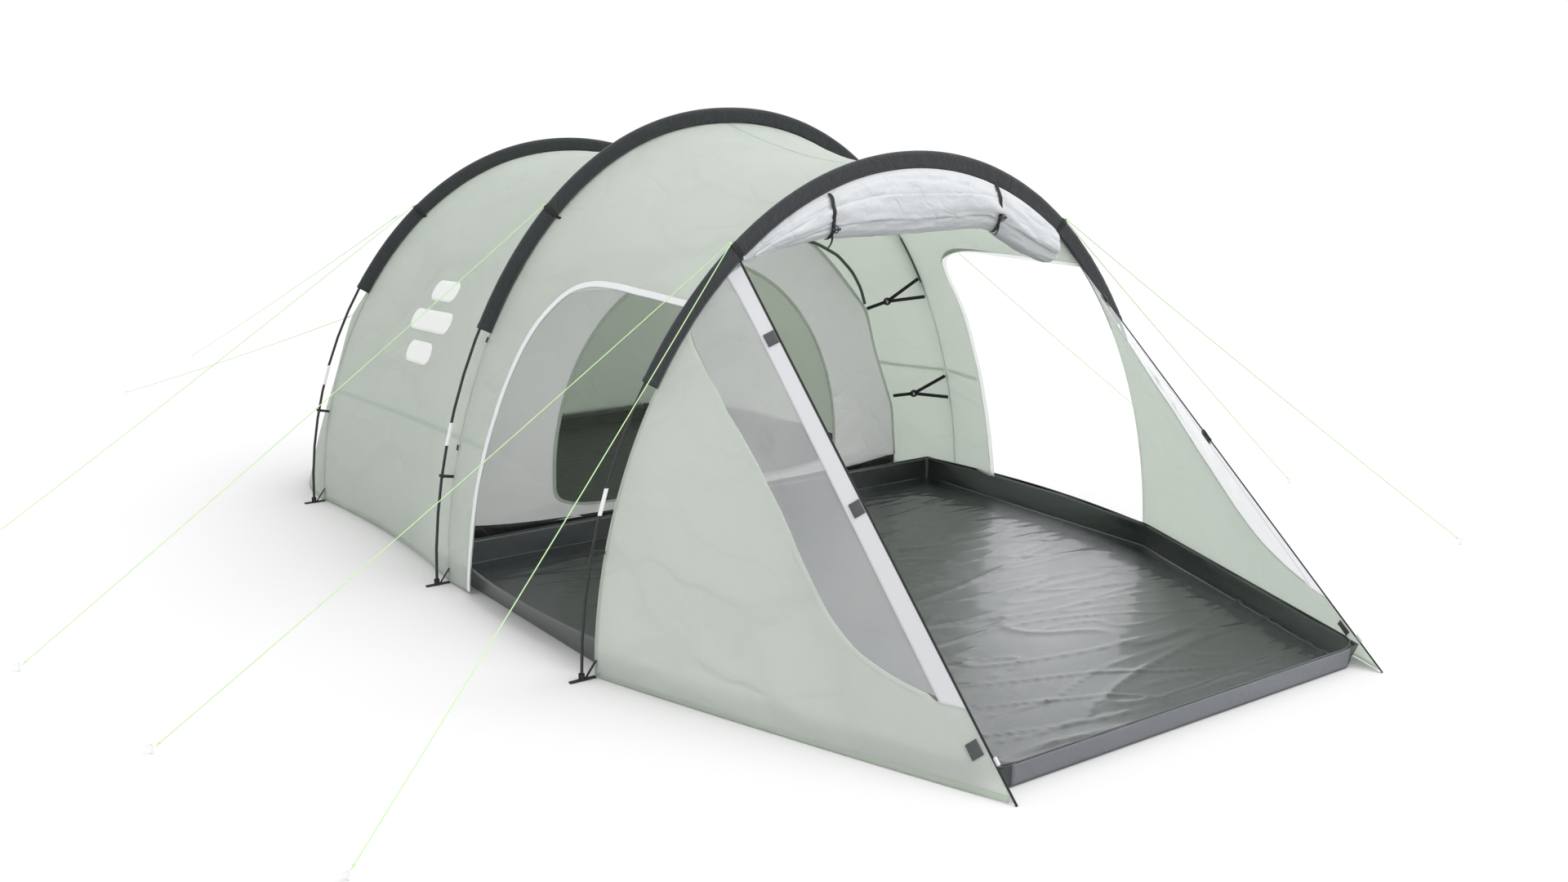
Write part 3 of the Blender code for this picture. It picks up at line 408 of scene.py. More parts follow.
def rod(name, points, radius, mat, body=BODY, replaces=(), cyclic=False, smooth=True):
    data = bpy.data.curves.new(name, "CURVE")
    data.dimensions = "3D"
    data.bevel_depth = radius
    data.bevel_resolution = 3
    data.use_fill_caps = True
    spline = data.splines.new("POLY")
    spline.points.add(len(points) - 1)
    for point, p in zip(spline.points, points):
        point.co = (*map(float, p), 1.0)
    spline.use_cyclic_u = cyclic
    spline.use_smooth = smooth
    obj = bpy.data.objects.new(name, data)
    data.materials.append(MAT[mat])
    bpy.context.scene.collection.objects.link(obj)
    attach(obj, body)
    if replaces:
        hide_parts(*replaces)
    return obj


def wobble(P, scale, seed, stretch=(1, 1, 1), octaves=2):
    """Smooth noise in -1..1 at each point."""
    P = np.asarray(P, float).reshape(-1, 3) * np.array(stretch) * scale + seed * 13.7
    return np.array([noise.fractal(Vector(p), 0.9, 2.1, octaves) for p in P])


def ridge(P, scale, seed, stretch=(1, 1, 1), sharp=3.0):
    """Creases: 1 along narrow lines, falling to 0 between them."""
    P = np.asarray(P, float).reshape(-1, 3) * np.array(stretch) * scale + seed * 7.3
    n = np.array([noise.noise(Vector(p)) for p in P])
    return (1.0 - np.clip(np.abs(n) * 2.2, 0, 1)) ** sharp


def turned(P, angle):
    """Points with their last two axes turned, so that creases run on the slant."""
    P = np.asarray(P, float).reshape(-1, 3)
    c, s = math.cos(angle), math.sin(angle)
    return np.stack([P[:, 0], c * P[:, 1] - s * P[:, 2], s * P[:, 1] + c * P[:, 2]], -1)


def smooth_line(points, count, passes=3):
    """Evenly spaced points on a polyline, with its corners eased."""
    pts = np.asarray(points, float)
    run = np.r_[0.0, np.cumsum(np.linalg.norm(np.diff(pts, axis=0), axis=1))]
    s = np.linspace(0, run[-1], count)
    out = np.stack([np.interp(s, run, pts[:, k]) for k in range(pts.shape[1])], -1)
    for _ in range(passes):
        mid = (out[:-2] + 2 * out[1:-1] + out[2:]) / 4
        out[1:-1] = mid
    return out


# ---------------------------------------------------------------- hoops
_TH = np.linspace(0.0, math.pi, 3201)


def _table(hoop):
    _, a, h, p, q = hoop
    c, s = np.cos(_TH), np.sin(_TH)
    line = np.stack([-a * np.sign(c) * np.abs(c) ** p, h * np.abs(s) ** q], -1)
    run = np.r_[0.0, np.cumsum(np.linalg.norm(np.diff(line, axis=0), axis=1))]
    return line, run / run[-1]


_TABLES = {hoop: _table(hoop) for hoop in (REAR, MIDDLE, FRONT)}


def arch(hoop, t, inset=0.0):
    line, run = _TABLES[hoop]
    t = np.atleast_1d(np.asarray(t, float))

    def at(u):
        u = np.clip(u, 0.0, 1.0)
        return np.stack([np.interp(u, run, line[:, 0]), np.interp(u, run, line[:, 1])], -1)

    step = at(t + 0.004) - at(t - 0.004)
    step /= np.linalg.norm(step, axis=1)[:, None]
    normal = np.stack([step[:, 1], -step[:, 0]], -1)
    return at(t) + inset * normal, normal


def fly_base(back, front, t, v, low, lift):
    a, n = arch(back, t, FLY_INSET)
    b, _ = arch(front, t, FLY_INSET)
    p = a * (1 - v)[:, None] + b * v[:, None]
    dip = 4 * v * (1 - v) * ROOF_SAG * (low + (1 - low) * np.abs(np.sin(math.pi * t)) ** 0.8)
    p = p + n * dip[:, None]
    y = back[0] * (1 - v) + front[0] * v
    z = np.maximum(p[:, 1], 0.006 + lift * 4 * v * (1 - v))
    return np.stack([p[:, 0], y, z], -1), np.stack([n[:, 0], 0 * v, n[:, 1]], -1)


def fly_folds(P, v, t, seed):
    """How far the cloth stands in from its smooth line: slanting creases, pulls at the hoops, slack near the hem."""
    calm = np.clip(4 * v * (1 - v), 0, 1) ** 0.6
    slant = np.where(P[:, 0] < 0, 1.0, -1.0)
    out = 0.0030 * wobble(P, 2.2, seed, octaves=3)
    for k, (angle, size) in enumerate(((0.75, 2.6), (-0.55, 3.3), (1.25, 4.6))):
        Q = turned(P, angle)
        out += 0.0030 / (1 + 0.5 * k) * ridge(Q, size, seed + k, stretch=(0.55, 1.0, 0.30), sharp=2.2)
    pulls = np.exp(-np.minimum(v, 1 - v) / 0.07) * np.sin(t * 96 + 2.0 * np.sin(t * 31 + seed)) * 0.0016
    return (out - 0.002) * calm + pulls * np.clip(np.minimum(v, 1 - v) / 0.01, 0, 1)


def bed(t, v):
    t, v = np.asarray(t, float).ravel(), np.asarray(v, float).ravel()
    P, N = fly_base(REAR, MIDDLE, t, v, 0.80, 0.018)
    Q = P + N * fly_folds(P, v, t, 1.0)[:, None]
    Q[:, 2] = np.maximum(Q[:, 2], 0.004)
    return Q


def live(t, v):
    t, v = np.asarray(t, float).ravel(), np.asarray(v, float).ravel()
    P, N = fly_base(MIDDLE, FRONT, t, v, 0.10, 0.004)
    Q = P + N * fly_folds(P, v, t, 5.0)[:, None]
    Q[:, 2] = np.maximum(Q[:, 2], 0.004)
    return Q


def normals_of(f, t, v, out_from=(0.0, 0.0, 0.3)):
    e = 0.004
    du = f(np.clip(t + e, 0, 1), v) - f(np.clip(t - e, 0, 1), v)
    dv = f(t, np.clip(v + e, 0, 1)) - f(t, np.clip(v - e, 0, 1))
    n = unit(np.cross(du, dv))
    P = f(t, v)
    ref = P - np.array(out_from)
    ref[:, 1] = 0
    return n * np.sign((n * ref).sum(1, keepdims=True))


def tape_on(name, f, tv, width, mat, lift=0.0016, cols=4, thick=0.0012, crown=0.0, side=1, shift=0.0):
    """A tape stitched on a sheet f along the path tv."""
    tv = np.asarray(tv, float)
    P = f(tv[:, 0], tv[:, 1])
    N = normals_of(f, tv[:, 0], tv[:, 1])
    T = unit(np.gradient(P, axis=0))
    A = unit(np.cross(N, T))
    return ribbon(name, P + A * shift + N * lift * side, A, width, mat, thick=thick, cols=cols, crown=crown)


# ---------------------------------------------------------------- guy lines, first of all
def guy_anchor(key, side):
    p, _ = arch(HOOPS[key], [GUY_T[key]], -0.004)
    return Vector((p[0, 0] * side, HOOPS[key][0], p[0, 1]))


GUYS = {
    "rear_left": (guy_anchor("rear", 1), (-2.530, 1.470)),
    "rear_wall_upper_left": (Vector((-0.754, 1.578, 1.163)), (-0.710, 5.300)),
    "rear_wall_lower_left": (Vector((-0.978, 1.602, 0.751)), (-1.335, 4.304)),
    "middle_left": (guy_anchor("middle", 1), (-2.590, 0.115)),
    "middle_right": (guy_anchor("middle", -1), (2.590, 0.115)),
    "front_left_back": (guy_anchor("front", 1), (-2.410, -0.727)),
    "front_left_fore": (guy_anchor("front", 1), (-2.220, -1.668)),
    "front_right_back": (guy_anchor("front", -1), (2.385, -0.715)),
    "front_right_fore": (guy_anchor("front", -1), (2.160, -1.668)),
}
PEG_TOP = 0.016


def guy_line(anchor, peg, fork, count=25):
    start = anchor + Vector((math.copysign(0.006, anchor.x), fork, 0.0))
    end = Vector((peg[0], peg[1], PEG_TOP))
    end = end + (start - end).normalized() * 0.007
    pts = []
    for k in range(count):
        s = k / (count - 1)
        p = start.lerp(end, s)
        p.z -= 0.010 * 4 * s * (1 - s)
        pts.append(p)
    return pts


def knot_mesh(name, at, size, along, mat="cord"):
    """A small overhand knot: a lumpy ball drawn out along the cord."""
    bm = bmesh.new()
    bmesh.ops.create_icosphere(bm, subdivisions=3, radius=1.0)
    turn = Vector(along).normalized().to_track_quat("Z", "Y").to_matrix()
    for v in bm.verts:
        c = v.co.copy()
        lump = 1.0 + 0.22 * math.sin(3 * math.atan2(c.y, c.x) + 4.0 * c.z)
        v.co = Vector(at) + turn @ Vector((c.x * size * lump, c.y * size * lump, c.z * size * 1.5))
    mesh = bpy.data.meshes.new(name)
    bm.to_mesh(mesh)
    bm.free()
    return finish_object(name, mesh, mat)


for key, (anchor, peg) in GUYS.items():
    fork = 0.004 if key.endswith("back") else -0.004 if key.endswith("fore") else 0.0
    pts = guy_line(anchor, peg, fork)
    cord = rod(f"guy_line_{key}", pts, 0.0015, "cord", replaces=[f"guy_{key}"])
    along = pts[1] - pts[0]
    knots = [knot_mesh(f"guy_knot_{key}", pts[0], 0.0034, along),
             knot_mesh(f"guy_peg_knot_{key}", pts[-1] + (pts[-2] - pts[-1]).normalized() * 0.012, 0.0030, along)]
    paint_node(f"peg_{key}", MAT["steel"])

# ---------------------------------------------------------------- fly sheet
DOOR_EDGE = np.array([(0.0, 0.152), (0.035, 0.161), (0.098, 0.168), (0.155, 0.180), (0.197, 0.199), (0.225, 0.222), (0.248, 0.262),
                      (0.2615, 0.312), (0.2695, 0.390), (0.2735, 0.520), (0.2752, 0.700), (0.2760, 0.890), (0.2762, 1.0)])
DOOR_EDGE_RIGHT = np.array([(0.0, 0.236), (0.050, 0.231), (0.0994, 0.2272), (0.1500, 0.2335), (0.1902, 0.2410), (0.2170, 0.2325), (0.2370, 0.2300),
                            (0.2502, 0.2520), (0.2618, 0.300), (0.2710, 0.378), (0.2775, 0.510), (0.2812, 0.693), (0.2822, 0.880), (0.2824, 1.0)])
_scale = np.array([4.2, 1.084])
DOOR_LINE = smooth_line(DOOR_EDGE * _scale, 120, 6) / _scale
_flat = smooth_line(DOOR_EDGE_RIGHT * _scale, 120, 6)
_run = np.gradient(_flat, axis=0)
_run /= np.linalg.norm(_run, axis=1)[:, None]
_back = np.stack([_run[:, 1], -_run[:, 0]], -1)
DOOR_LINE_RIGHT = (_flat + 0.0110 * _back) / _scale
CLOTH_LINE_RIGHT = (_flat + 0.0212 * _back) / _scale
for _line in (DOOR_LINE_RIGHT, CLOTH_LINE_RIGHT):
    _line[0, 0] = 0.0
    _line[:, 1] = np.minimum(_line[:, 1], 1.0)
    _line[-1, 1] = 1.0


def make_fly():
    t, v = np.linspace(0, 1, 261), np.linspace(0, 1, 61)
    tt, vv = np.meshgrid(t, v, indexing="ij")
    surf("fly_bedroom", bed(tt, vv).reshape(len(t), len(v), 3), "fly", replaces=["fly_bedroom_section"],
         held="stretched")
    left = np.vstack([DOOR_LINE, np.stack([np.linspace(DOOR_LINE[-1, 0], 0.5, 60)[1:], np.ones(59)], -1)])
    right = np.vstack([CLOTH_LINE_RIGHT, np.stack([np.linspace(CLOTH_LINE_RIGHT[-1, 0], 0.5, 60)[1:], np.ones(59)], -1)])
    right = right[::-1][1:] * np.array([-1, 1]) + np.array([1, 0])
    edge = np.vstack([left, right])
    n = len(edge)
    half = (n + 1) // 2
    start = np.interp(np.linspace(0, 1, half), [0, 1], [0, 0.5])
    start = np.r_[start, 1.0 - start[::-1][1:]]
    f = np.linspace(0, 1, 49)
    tt = start[:, None] * (1 - f) + edge[:, :1] * f
    vv = edge[:, 1:] * f
    surf("fly_living", live(tt, vv).reshape(n, len(f), 3), "fly", replaces=["fly_living_section"],
         held="stretched")


REAR_HEM = np.array([(0.00, -1.184, 1.475), (0.08, -1.182, 1.640), (0.16, -1.120, 1.860), (0.26, -0.960, 2.070),
                     (0.36, -0.620, 2.200), (0.50, 0.0, BACK_Y - 0.002)])
PEAKS = [((9 / 28, 0.07), (-0.760, 1.570, 1.166)), ((6 / 28, 0.16), (-0.982, 1.592, 0.754))]


def rear_base(t, g):
    f = np.minimum(t, 1 - t)
    hem = smooth_line(REAR_HEM, 60, 10)
    hx = np.interp(f, hem[:, 0], hem[:, 1]) * np.where(t > 0.5, -1, 1)
    hy = np.interp(f, hem[:, 0], hem[:, 2])
    top, _ = arch(REAR, t, FLY_INSET)
    a = np.stack([top[:, 0], np.full(len(t), REAR[0]), np.maximum(top[:, 1], 0.006)], -1)
    b = np.stack([hx, hy, np.full(len(t), 0.006)], -1)
    P = a * (1 - g)[:, None] + b * g[:, None]
    P[:, 1] += 0.035 * 4 * g * (1 - g) * np.minimum(a[:, 2] / 0.4, 1.0)
    return P


def rear(t, g):
    t, g = np.asarray(t, float).ravel(), np.asarray(g, float).ravel()
    P = rear_base(t, g)
    calm = np.clip(4 * g * (1 - g), 0, 1) ** 0.5
    Q = P.copy()
    for (t0, g0), peak in PEAKS:
        move = np.array(peak) - rear_base(np.array([t0]), np.array([g0]))[0]
        d = np.linalg.norm(P - np.array(peak), axis=1)
        Q += move * (np.clip(1 - d / 0.34, 0, 1) ** 2.2)[:, None] * np.clip(g / 0.02, 0, 1)[:, None]
    fold = 0.006 * wobble(P, 1.9, 3.0, octaves=3) + 0.005 * ridge(turned(P, 0.6), 2.4, 4.0, stretch=(1.0, 0.5, 0.6), sharp=2.0)
    Q[:, 1] += fold * calm
    Q[:, 2] = np.maximum(Q[:, 2], 0.004)
    return Q


def make_rear():
    t, g = np.linspace(0, 1, 181), np.linspace(0, 1, 61) ** 1.15
    tt, gg = np.meshgrid(t, g, indexing="ij")
    surf("fly_rear_panel", rear(tt, gg).reshape(len(t), len(g), 3), "fly", replaces=["fly_rear_wall"],
         held="stretched")
    # hem of the rear wall and two seams that run down it
    tt = np.linspace(0.003, 0.997, 160)
    tape_on("rear_hem_tape", rear, np.stack([tt, np.full(160, 0.985)], -1), 0.022, "hem")
    for name, t0, t1 in (("rear_panel_seam_left", 0.34, 0.34), ("rear_panel_seam_right", 0.66, 0.66)):
        gg = np.linspace(0.01, 0.985, 70)
        tape_on(name, rear, np.stack([np.full(70, t0), gg], -1), 0.012, "hem", lift=0.0012, thick=0.0)


make_fly()
make_rear()


def arch_ribbon(name, hoop, inset, width, mat, t0=0.0, t1=1.0, shift=0.0, crown=0.0015, thick=0.0014, low=0.006):
    t = np.linspace(t0, t1, 220)
    p, n = arch(hoop, t, inset)
    line = np.stack([p[:, 0], np.full(len(t), hoop[0] + shift), np.maximum(p[:, 1], low)], -1)
    across = np.tile([0.0, 1.0, 0.0], (len(t), 1))
    return ribbon(name, line, across, width, mat, crown=crown, thick=thick, cols=5)


for key, hoop in HOOPS.items():
    arch_ribbon(f"{key}_seam_outer", hoop, FLY_INSET - 0.0022, 0.006, "hem", thick=0.0)
    arch_ribbon(f"{key}_seam_inner", hoop, FLY_INSET + 0.0022, 0.004, "hem", t0=0.004, t1=0.996, thick=0.0)
    if key == "middle":
        # a dark olive strip inside the seam, from 0.908 m to 1.10 m up, beside the inner's upper hangers
        climb = np.linspace(0.0, 0.5, 2001)
        height = arch(hoop, climb, FLY_INSET)[0][:, 1]
        low, high = climb[np.argmax(height > 0.908)], climb[np.argmax(height > 1.10)]
        arch_ribbon("middle_dark_strip_left", hoop, FLY_INSET + 0.0050, 0.008, "olive", t0=low, t1=high)
        arch_ribbon("middle_dark_strip_right", hoop, FLY_INSET + 0.0050, 0.008, "olive", t0=1 - high, t1=1 - low)

# short black tabs sewn on the middle seam
for hand, sg in (("left", 1), ("right", -1)):
    for k, height in enumerate((0.852, 0.484)):
        climb = np.linspace(0.0, 0.5, 2001)
        at = climb[np.argmax(arch(MIDDLE, climb, FLY_INSET)[0][:, 1] > height)]
        span = (at - 0.0022, at + 0.0022) if sg > 0 else (1 - at - 0.0022, 1 - at + 0.0022)
        arch_ribbon(f"middle_tab_{hand}_{k + 1}", MIDDLE, FLY_INSET - 0.0060, 0.011, "webbing", t0=span[0], t1=span[1])

# tapes that spread the pull of the rear wall's guys over the cloth
for word, (_, peak), gap in (("upper", PEAKS[0], (0.0, 0.0)), ("lower", PEAKS[1], (0.0, 0.0))):
    knot = GUYS[f"rear_wall_{word}_left"][0]
    tip = np.array(tuple(knot)) - np.array([0.0, 0.004, -0.001])
    seat = np.array(peak) + np.array([0.0, 0.004, 0.0])
    rows = [[tip + (seat + np.array([g * 0.024, 0.0, g * 0.012]) - tip) * f for g in np.linspace(-1, 1, 5)] for f in np.linspace(0.04, 1, 7)]
    surf(f"rear_wall_tab_{word}", np.array(rows), "hem", 0.0012)

# the horizontal joining seam, white door trims and hems
for word, flip in (("left", False), ("right", True)):
    def side(tv, flip=flip):
        tv = np.array(tv, float)
        if flip:
            tv[:, 0] = 1 - tv[:, 0]
        return tv

    v = np.linspace(0.008, 0.992, 120)
    tape_on(f"waist_seam_bedroom_{word}", bed, side(np.stack([0.1155 + 0.0022 * v, v], -1)), 0.018, "seam", lift=0.0015, thick=0.0)
    tape_on(f"waist_seam_inside_{word}", bed, side(np.stack([0.1155 + 0.0022 * v, v], -1)), 0.005, "hem", lift=0.0015, side=-1, thick=0.0)
    door = DOOR_LINE_RIGHT if flip else DOOR_LINE
    v = np.linspace(0.01, float(np.interp(0.118, door[:, 0], door[:, 1])) - 0.024, 24)
    tape_on(f"waist_seam_living_{word}", live, side(np.stack([0.1180 + 0.0 * v, v], -1)), 0.018, "seam", lift=0.0015, thick=0.0)
    v = np.linspace(0.004, 0.996, 120)
    tape_on(f"bedroom_hem_{word}", bed, side(np.stack([np.full(120, 0.0045), v], -1)), 0.018, "hem", lift=0.0014)
    inward = door.copy()
    for face, s in (("out", 1), ("in", -1))[:1 if flip else 2]:
        path = side(inward)
        # faces seen from inside take the paler trim copy: painted light
        tape_on(f"door_trim_{face}_{word}", live, path, 0.023, "trim" if face == "out" and not flip else "trim_lit_copy", lift=0.0020, side=s, cols=5, thick=0.0,
                shift=0.0105 if not flip else 0.0)

# roof seam along the ridge between the middle and the front hoop
v = np.linspace(0.006, 0.994, 60)
tape_on("ridge_seam", live, np.stack([np.full(60, 0.5), v], -1), 0.006, "seam", lift=0.0014)


# ---------------------------------------------------------------- generic mark on the side
def make_mark():
    """Three rounded bars of different length, printed on the bedroom's side."""
    centre = np.array([0.2065, 0.505])
    for k, (up, half) in enumerate(((0.128, 0.120), (0.0, 0.195), (-0.128, 0.120))):
        rows = []
        for s in np.linspace(-1, 1, 41):
            end = math.sqrt(max(1 - max(abs(s) - (1 - 0.044 / half), 0) ** 2 / (0.044 / half) ** 2, 0.0))
            row = []
            for w in np.linspace(-1, 1, 7):
                along, height = s * half, up + w * 0.044 * max(end, 0.02)
                row.append((centre[0] + height / 4.15, centre[1] + along / 1.319))
            rows.append(row)
        tv = np.array(rows)
        shape = tv.shape[:2]
        flat = tv.reshape(-1, 2)
        P = bed(flat[:, 0], flat[:, 1]) + normals_of(bed, flat[:, 0], flat[:, 1]) * 0.0014
        surf(f"printed_bar_{k + 1}", P.reshape(*shape, 3), "mark", 0.0006)


make_mark()


# ---------------------------------------------------------------- pole sleeves, with the guy tabs across them
SLEEVE_SECTION = np.array([(-0.0024, 0.0560), (-0.0036, 0.046), (-0.0049, 0.034), (-0.0066, 0.024), (-0.0084, 0.0150), (-0.0086, 0.0085),
                           (-0.0066, 0.0030), (-0.0030, 0.0006), (0.0, 0.0), (0.0030, 0.0006), (0.0066, 0.0030), (0.0086, 0.0085),
                           (0.0084, 0.0150), (0.0066, 0.024), (0.0049, 0.034), (0.0036, 0.046), (0.0024, 0.0560)])


def sleeve_points(hoop, t, grow=0.0, section=SLEEVE_SECTION, puff=True):
    c, n = arch(hoop, t)
    out = []
    for i in range(len(t)):
        row = []
        for y, d in section:
            row.append((c[i, 0] + (d - grow * (d < 0.01)) * n[i, 0], hoop[0] + y * (1 + grow * 120), c[i, 1] + (d - grow * (d < 0.01)) * n[i, 1]))
        out.append(row)
    P = np.array(out)
    if puff:
        flat = P.reshape(-1, 3)
        amount = 0.0011 * wobble(flat, 16.0, 8.0, octaves=2) + 0.0013 * ridge(flat, 11.0, 9.0, sharp=2.0)
        sides = np.sign(flat[:, 1] - hoop[0])
        flat[:, 1] += sides * np.abs(amount)
    return P


for key, hoop in HOOPS.items():
    end = SLEEVE_END[key]
    t = np.linspace(end, 1 - end, 300)
    surf(f"{key}_sleeve", sleeve_points(hoop, t), "sleeve", 0.0012, replaces=[f"{key}_pole_sleeve"],
         held="stretched")
    for word, centre in (("left", GUY_T[key]), ("right", 1 - GUY_T[key])):
        t = centre + np.linspace(-0.0024, 0.0024, 7)
        section = SLEEVE_SECTION * np.array([1.32, 1.0]) + np.array([0, 0.0])
        section[:, 1] = np.where(section[:, 1] < 0.004, section[:, 1] - 0.0022, section[:, 1])
        surf(f"{key}_guy_tab_{word}", sleeve_points(hoop, t, section=section, puff=False), "webbing", 0.0012)
    for word, centre in (("left", end + 0.0022), ("right", 1 - end - 0.0022)):
        t = centre + np.linspace(-0.0022, 0.0022, 5)
        section = SLEEVE_SECTION * np.array([1.16, 1.0])
        section[:, 1] = np.where(section[:, 1] < 0.004, section[:, 1] - 0.0012, section[:, 1])
        surf(f"{key}_sleeve_cuff_{word}", sleeve_points(hoop, t, section=section, puff=False), "sleeve", 0.0010)
    # a double row of stitching where the sleeve meets the fly
    for side_y in (-0.0062, 0.0062):
        arch_ribbon(f"{key}_stitch_{'fore' if side_y < 0 else 'back'}", hoop, 0.0500, 0.0016, "patch", t0=end + 0.004, t1=1 - end - 0.004,
                    shift=side_y * 1.0, crown=0.0003, thick=0.0010)

for name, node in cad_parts.items():
    if name.endswith("_hoop_pole"):
        paint_node(name, MAT["pole"])
    elif name.startswith(("pole_clip", "roll_toggle")):
        paint_node(name, MAT["plastic"])
    elif name.startswith("zip_slider"):
        paint_node(name, MAT["slider"])
    elif name.startswith("pole_foot"):
        paint_node(name, MAT["webbing"])

# the guy tapes' tails, stitched on the fly beside the sleeves
for key, f, sign in (("rear", bed, 1), ("middle", live, 1)):
    for word, at in (("left", GUY_T[key]), ("right", 1 - GUY_T[key])):
        tail = np.stack([np.full(9, at), np.linspace(0.002, 0.020 if key == "rear" else 0.026, 9)], -1)
        tape_on(f"{key}_guy_tail_{word}", f, tail, 0.010, "webbing", lift=0.0022, thick=0.0016)

# loops of cord on the guy tabs
for key, (anchor, peg) in GUYS.items():
    if "rear_wall" in key:
        continue
    hoop_name = key.split("_")[0]
    if key.endswith("fore"):
        continue
    sgn = 1 if anchor.x < 0 else -1
    tt = GUY_T[hoop_name] if sgn > 0 else 1 - GUY_T[hoop_name]
    p, n = arch(HOOPS[hoop_name], [tt - 0.0035, tt + 0.0035], 0.004)
    tip = anchor + Vector((math.copysign(0.006, anchor.x), 0, 0))
    y = HOOPS[hoop_name][0]
    rod(f"guy_loop_{key}", [(p[0, 0], y, p[0, 1]), tip, (p[1, 0], y, p[1, 1])], 0.0016, "cord", smooth=False)


# ---------------------------------------------------------------- porch wings and their windows
WINDOW_EDGE = np.array([(0.00, 0.830), (0.06, 0.822), (0.25, 0.765), (0.42, 0.695), (0.55, 0.600), (0.62, 0.530),
                        (0.66, 0.455), (0.69, 0.360), (0.72, 0.270), (0.765, 0.212), (0.85, 0.176), (0.94, 0.158), (1.00, 0.150)])
WINDOW_LINE = smooth_line(WINDOW_EDGE, 160, 8)


def wing_base(a, b):
    a, b = np.asarray(a, float).ravel(), np.asarray(b, float).ravel()
    hoop, _ = arch(FRONT, b * WING_TOP, FLY_INSET)
    p = np.stack([hoop[:, 0], np.full(len(b), FRONT[0]), hoop[:, 1]], -1)
    foot = np.array([-TIP[0], TIP[1], 0.0])
    head = np.array([-WING_APEX[0], FRONT[0], WING_APEX[1]])
    e = foot + (head - foot) * b[:, None]
    q = p * (1 - a)[:, None] + e * a[:, None]
    q[:, 0] -= 0.012 * 4 * a * (1 - a) * np.clip(1 - b * 1.2, 0, 1)
    return q


def wing(a, b):
    a, b = np.asarray(a, float).ravel(), np.asarray(b, float).ravel()
    q = wing_base(a, b)
    calm = np.clip(a / 0.08, 0, 1) * np.clip((1 - a) / 0.10, 0, 1) * np.clip(b / 0.03, 0, 1)
    fold = 0.0045 * wobble(q, 2.0, 6.0, octaves=3)
    fold += 0.0045 * ridge(turned(q, 0.9), 2.6, 7.0, stretch=(0.5, 1.0, 0.35), sharp=2.2)
    fold += 0.0030 * ridge(turned(q, -0.7), 3.8, 9.0, stretch=(0.5, 1.0, 0.35), sharp=2.4)
    q[:, 0] -= (fold - 0.002) * calm
    q[:, 2] = np.maximum(q[:, 2], 0.005)
    return q


def pane(a, b):
    """The clear window: slacker than the cloth, with long soft folds."""
    a, b = np.asarray(a, float).ravel(), np.asarray(b, float).ravel()
    q = wing_base(a, b)
    s = a / band_share(b)
    calm = np.clip((1 - s) / 0.16, 0, 1) * np.clip(a / 0.08, 0, 1) * np.clip((b - sill_at(s * 0.94)) / 0.12, 0, 1)
    q2 = turned(q, 0.5)
    fold = 0.012 * wobble(q2, 2.6, 2.0, stretch=(0.4, 0.6, 2.0), octaves=2) + 0.010 * ridge(q2, 3.4, 3.0, stretch=(0.4, 0.4, 1.9), sharp=1.8)
    q[:, 0] -= fold * calm
    return q


def band_share(b):
    b = np.atleast_1d(b)
    length = np.linalg.norm(wing_base(np.ones_like(b), b) - wing_base(np.zeros_like(b), b), axis=1)
    return 1.0 - np.clip((STRIP_LOW * (1 - b) + STRIP_HIGH * b) / length, 0.0, 0.985)


def mirror(P, hand):
    return np.asarray(P) * np.array([1.0 if hand == "left" else -1.0, 1.0, 1.0])


def wing_normal(f, a, b):
    e = 0.004
    n = unit(np.cross(f(np.clip(a + e, 0, 1), b) - f(np.clip(a - e, 0, 1), b), f(a, np.clip(b + e, 0, 1)) - f(a, np.clip(b - e, 0, 1))))
    return n * np.where(n[:, :1] > 0, -1, 1)


def wing_tape(name, hand, ab, width, mat, lift=0.0016, shift=0.0, thick=0.0012, cols=4, crown=0.0, f=None):
    f = f or wing
    P = f(ab[:, 0], ab[:, 1])
    N = wing_normal(f, ab[:, 0], ab[:, 1])
    T = unit(np.gradient(P, axis=0))
    A = unit(np.cross(N, T))
    return ribbon(name, mirror(P + A * shift + N * lift, hand), mirror(A, hand), width, mat, thick=thick, cols=cols, crown=crown)


def sill_at(s):
    return np.interp(s, WINDOW_LINE[:, 0], WINDOW_LINE[:, 1])


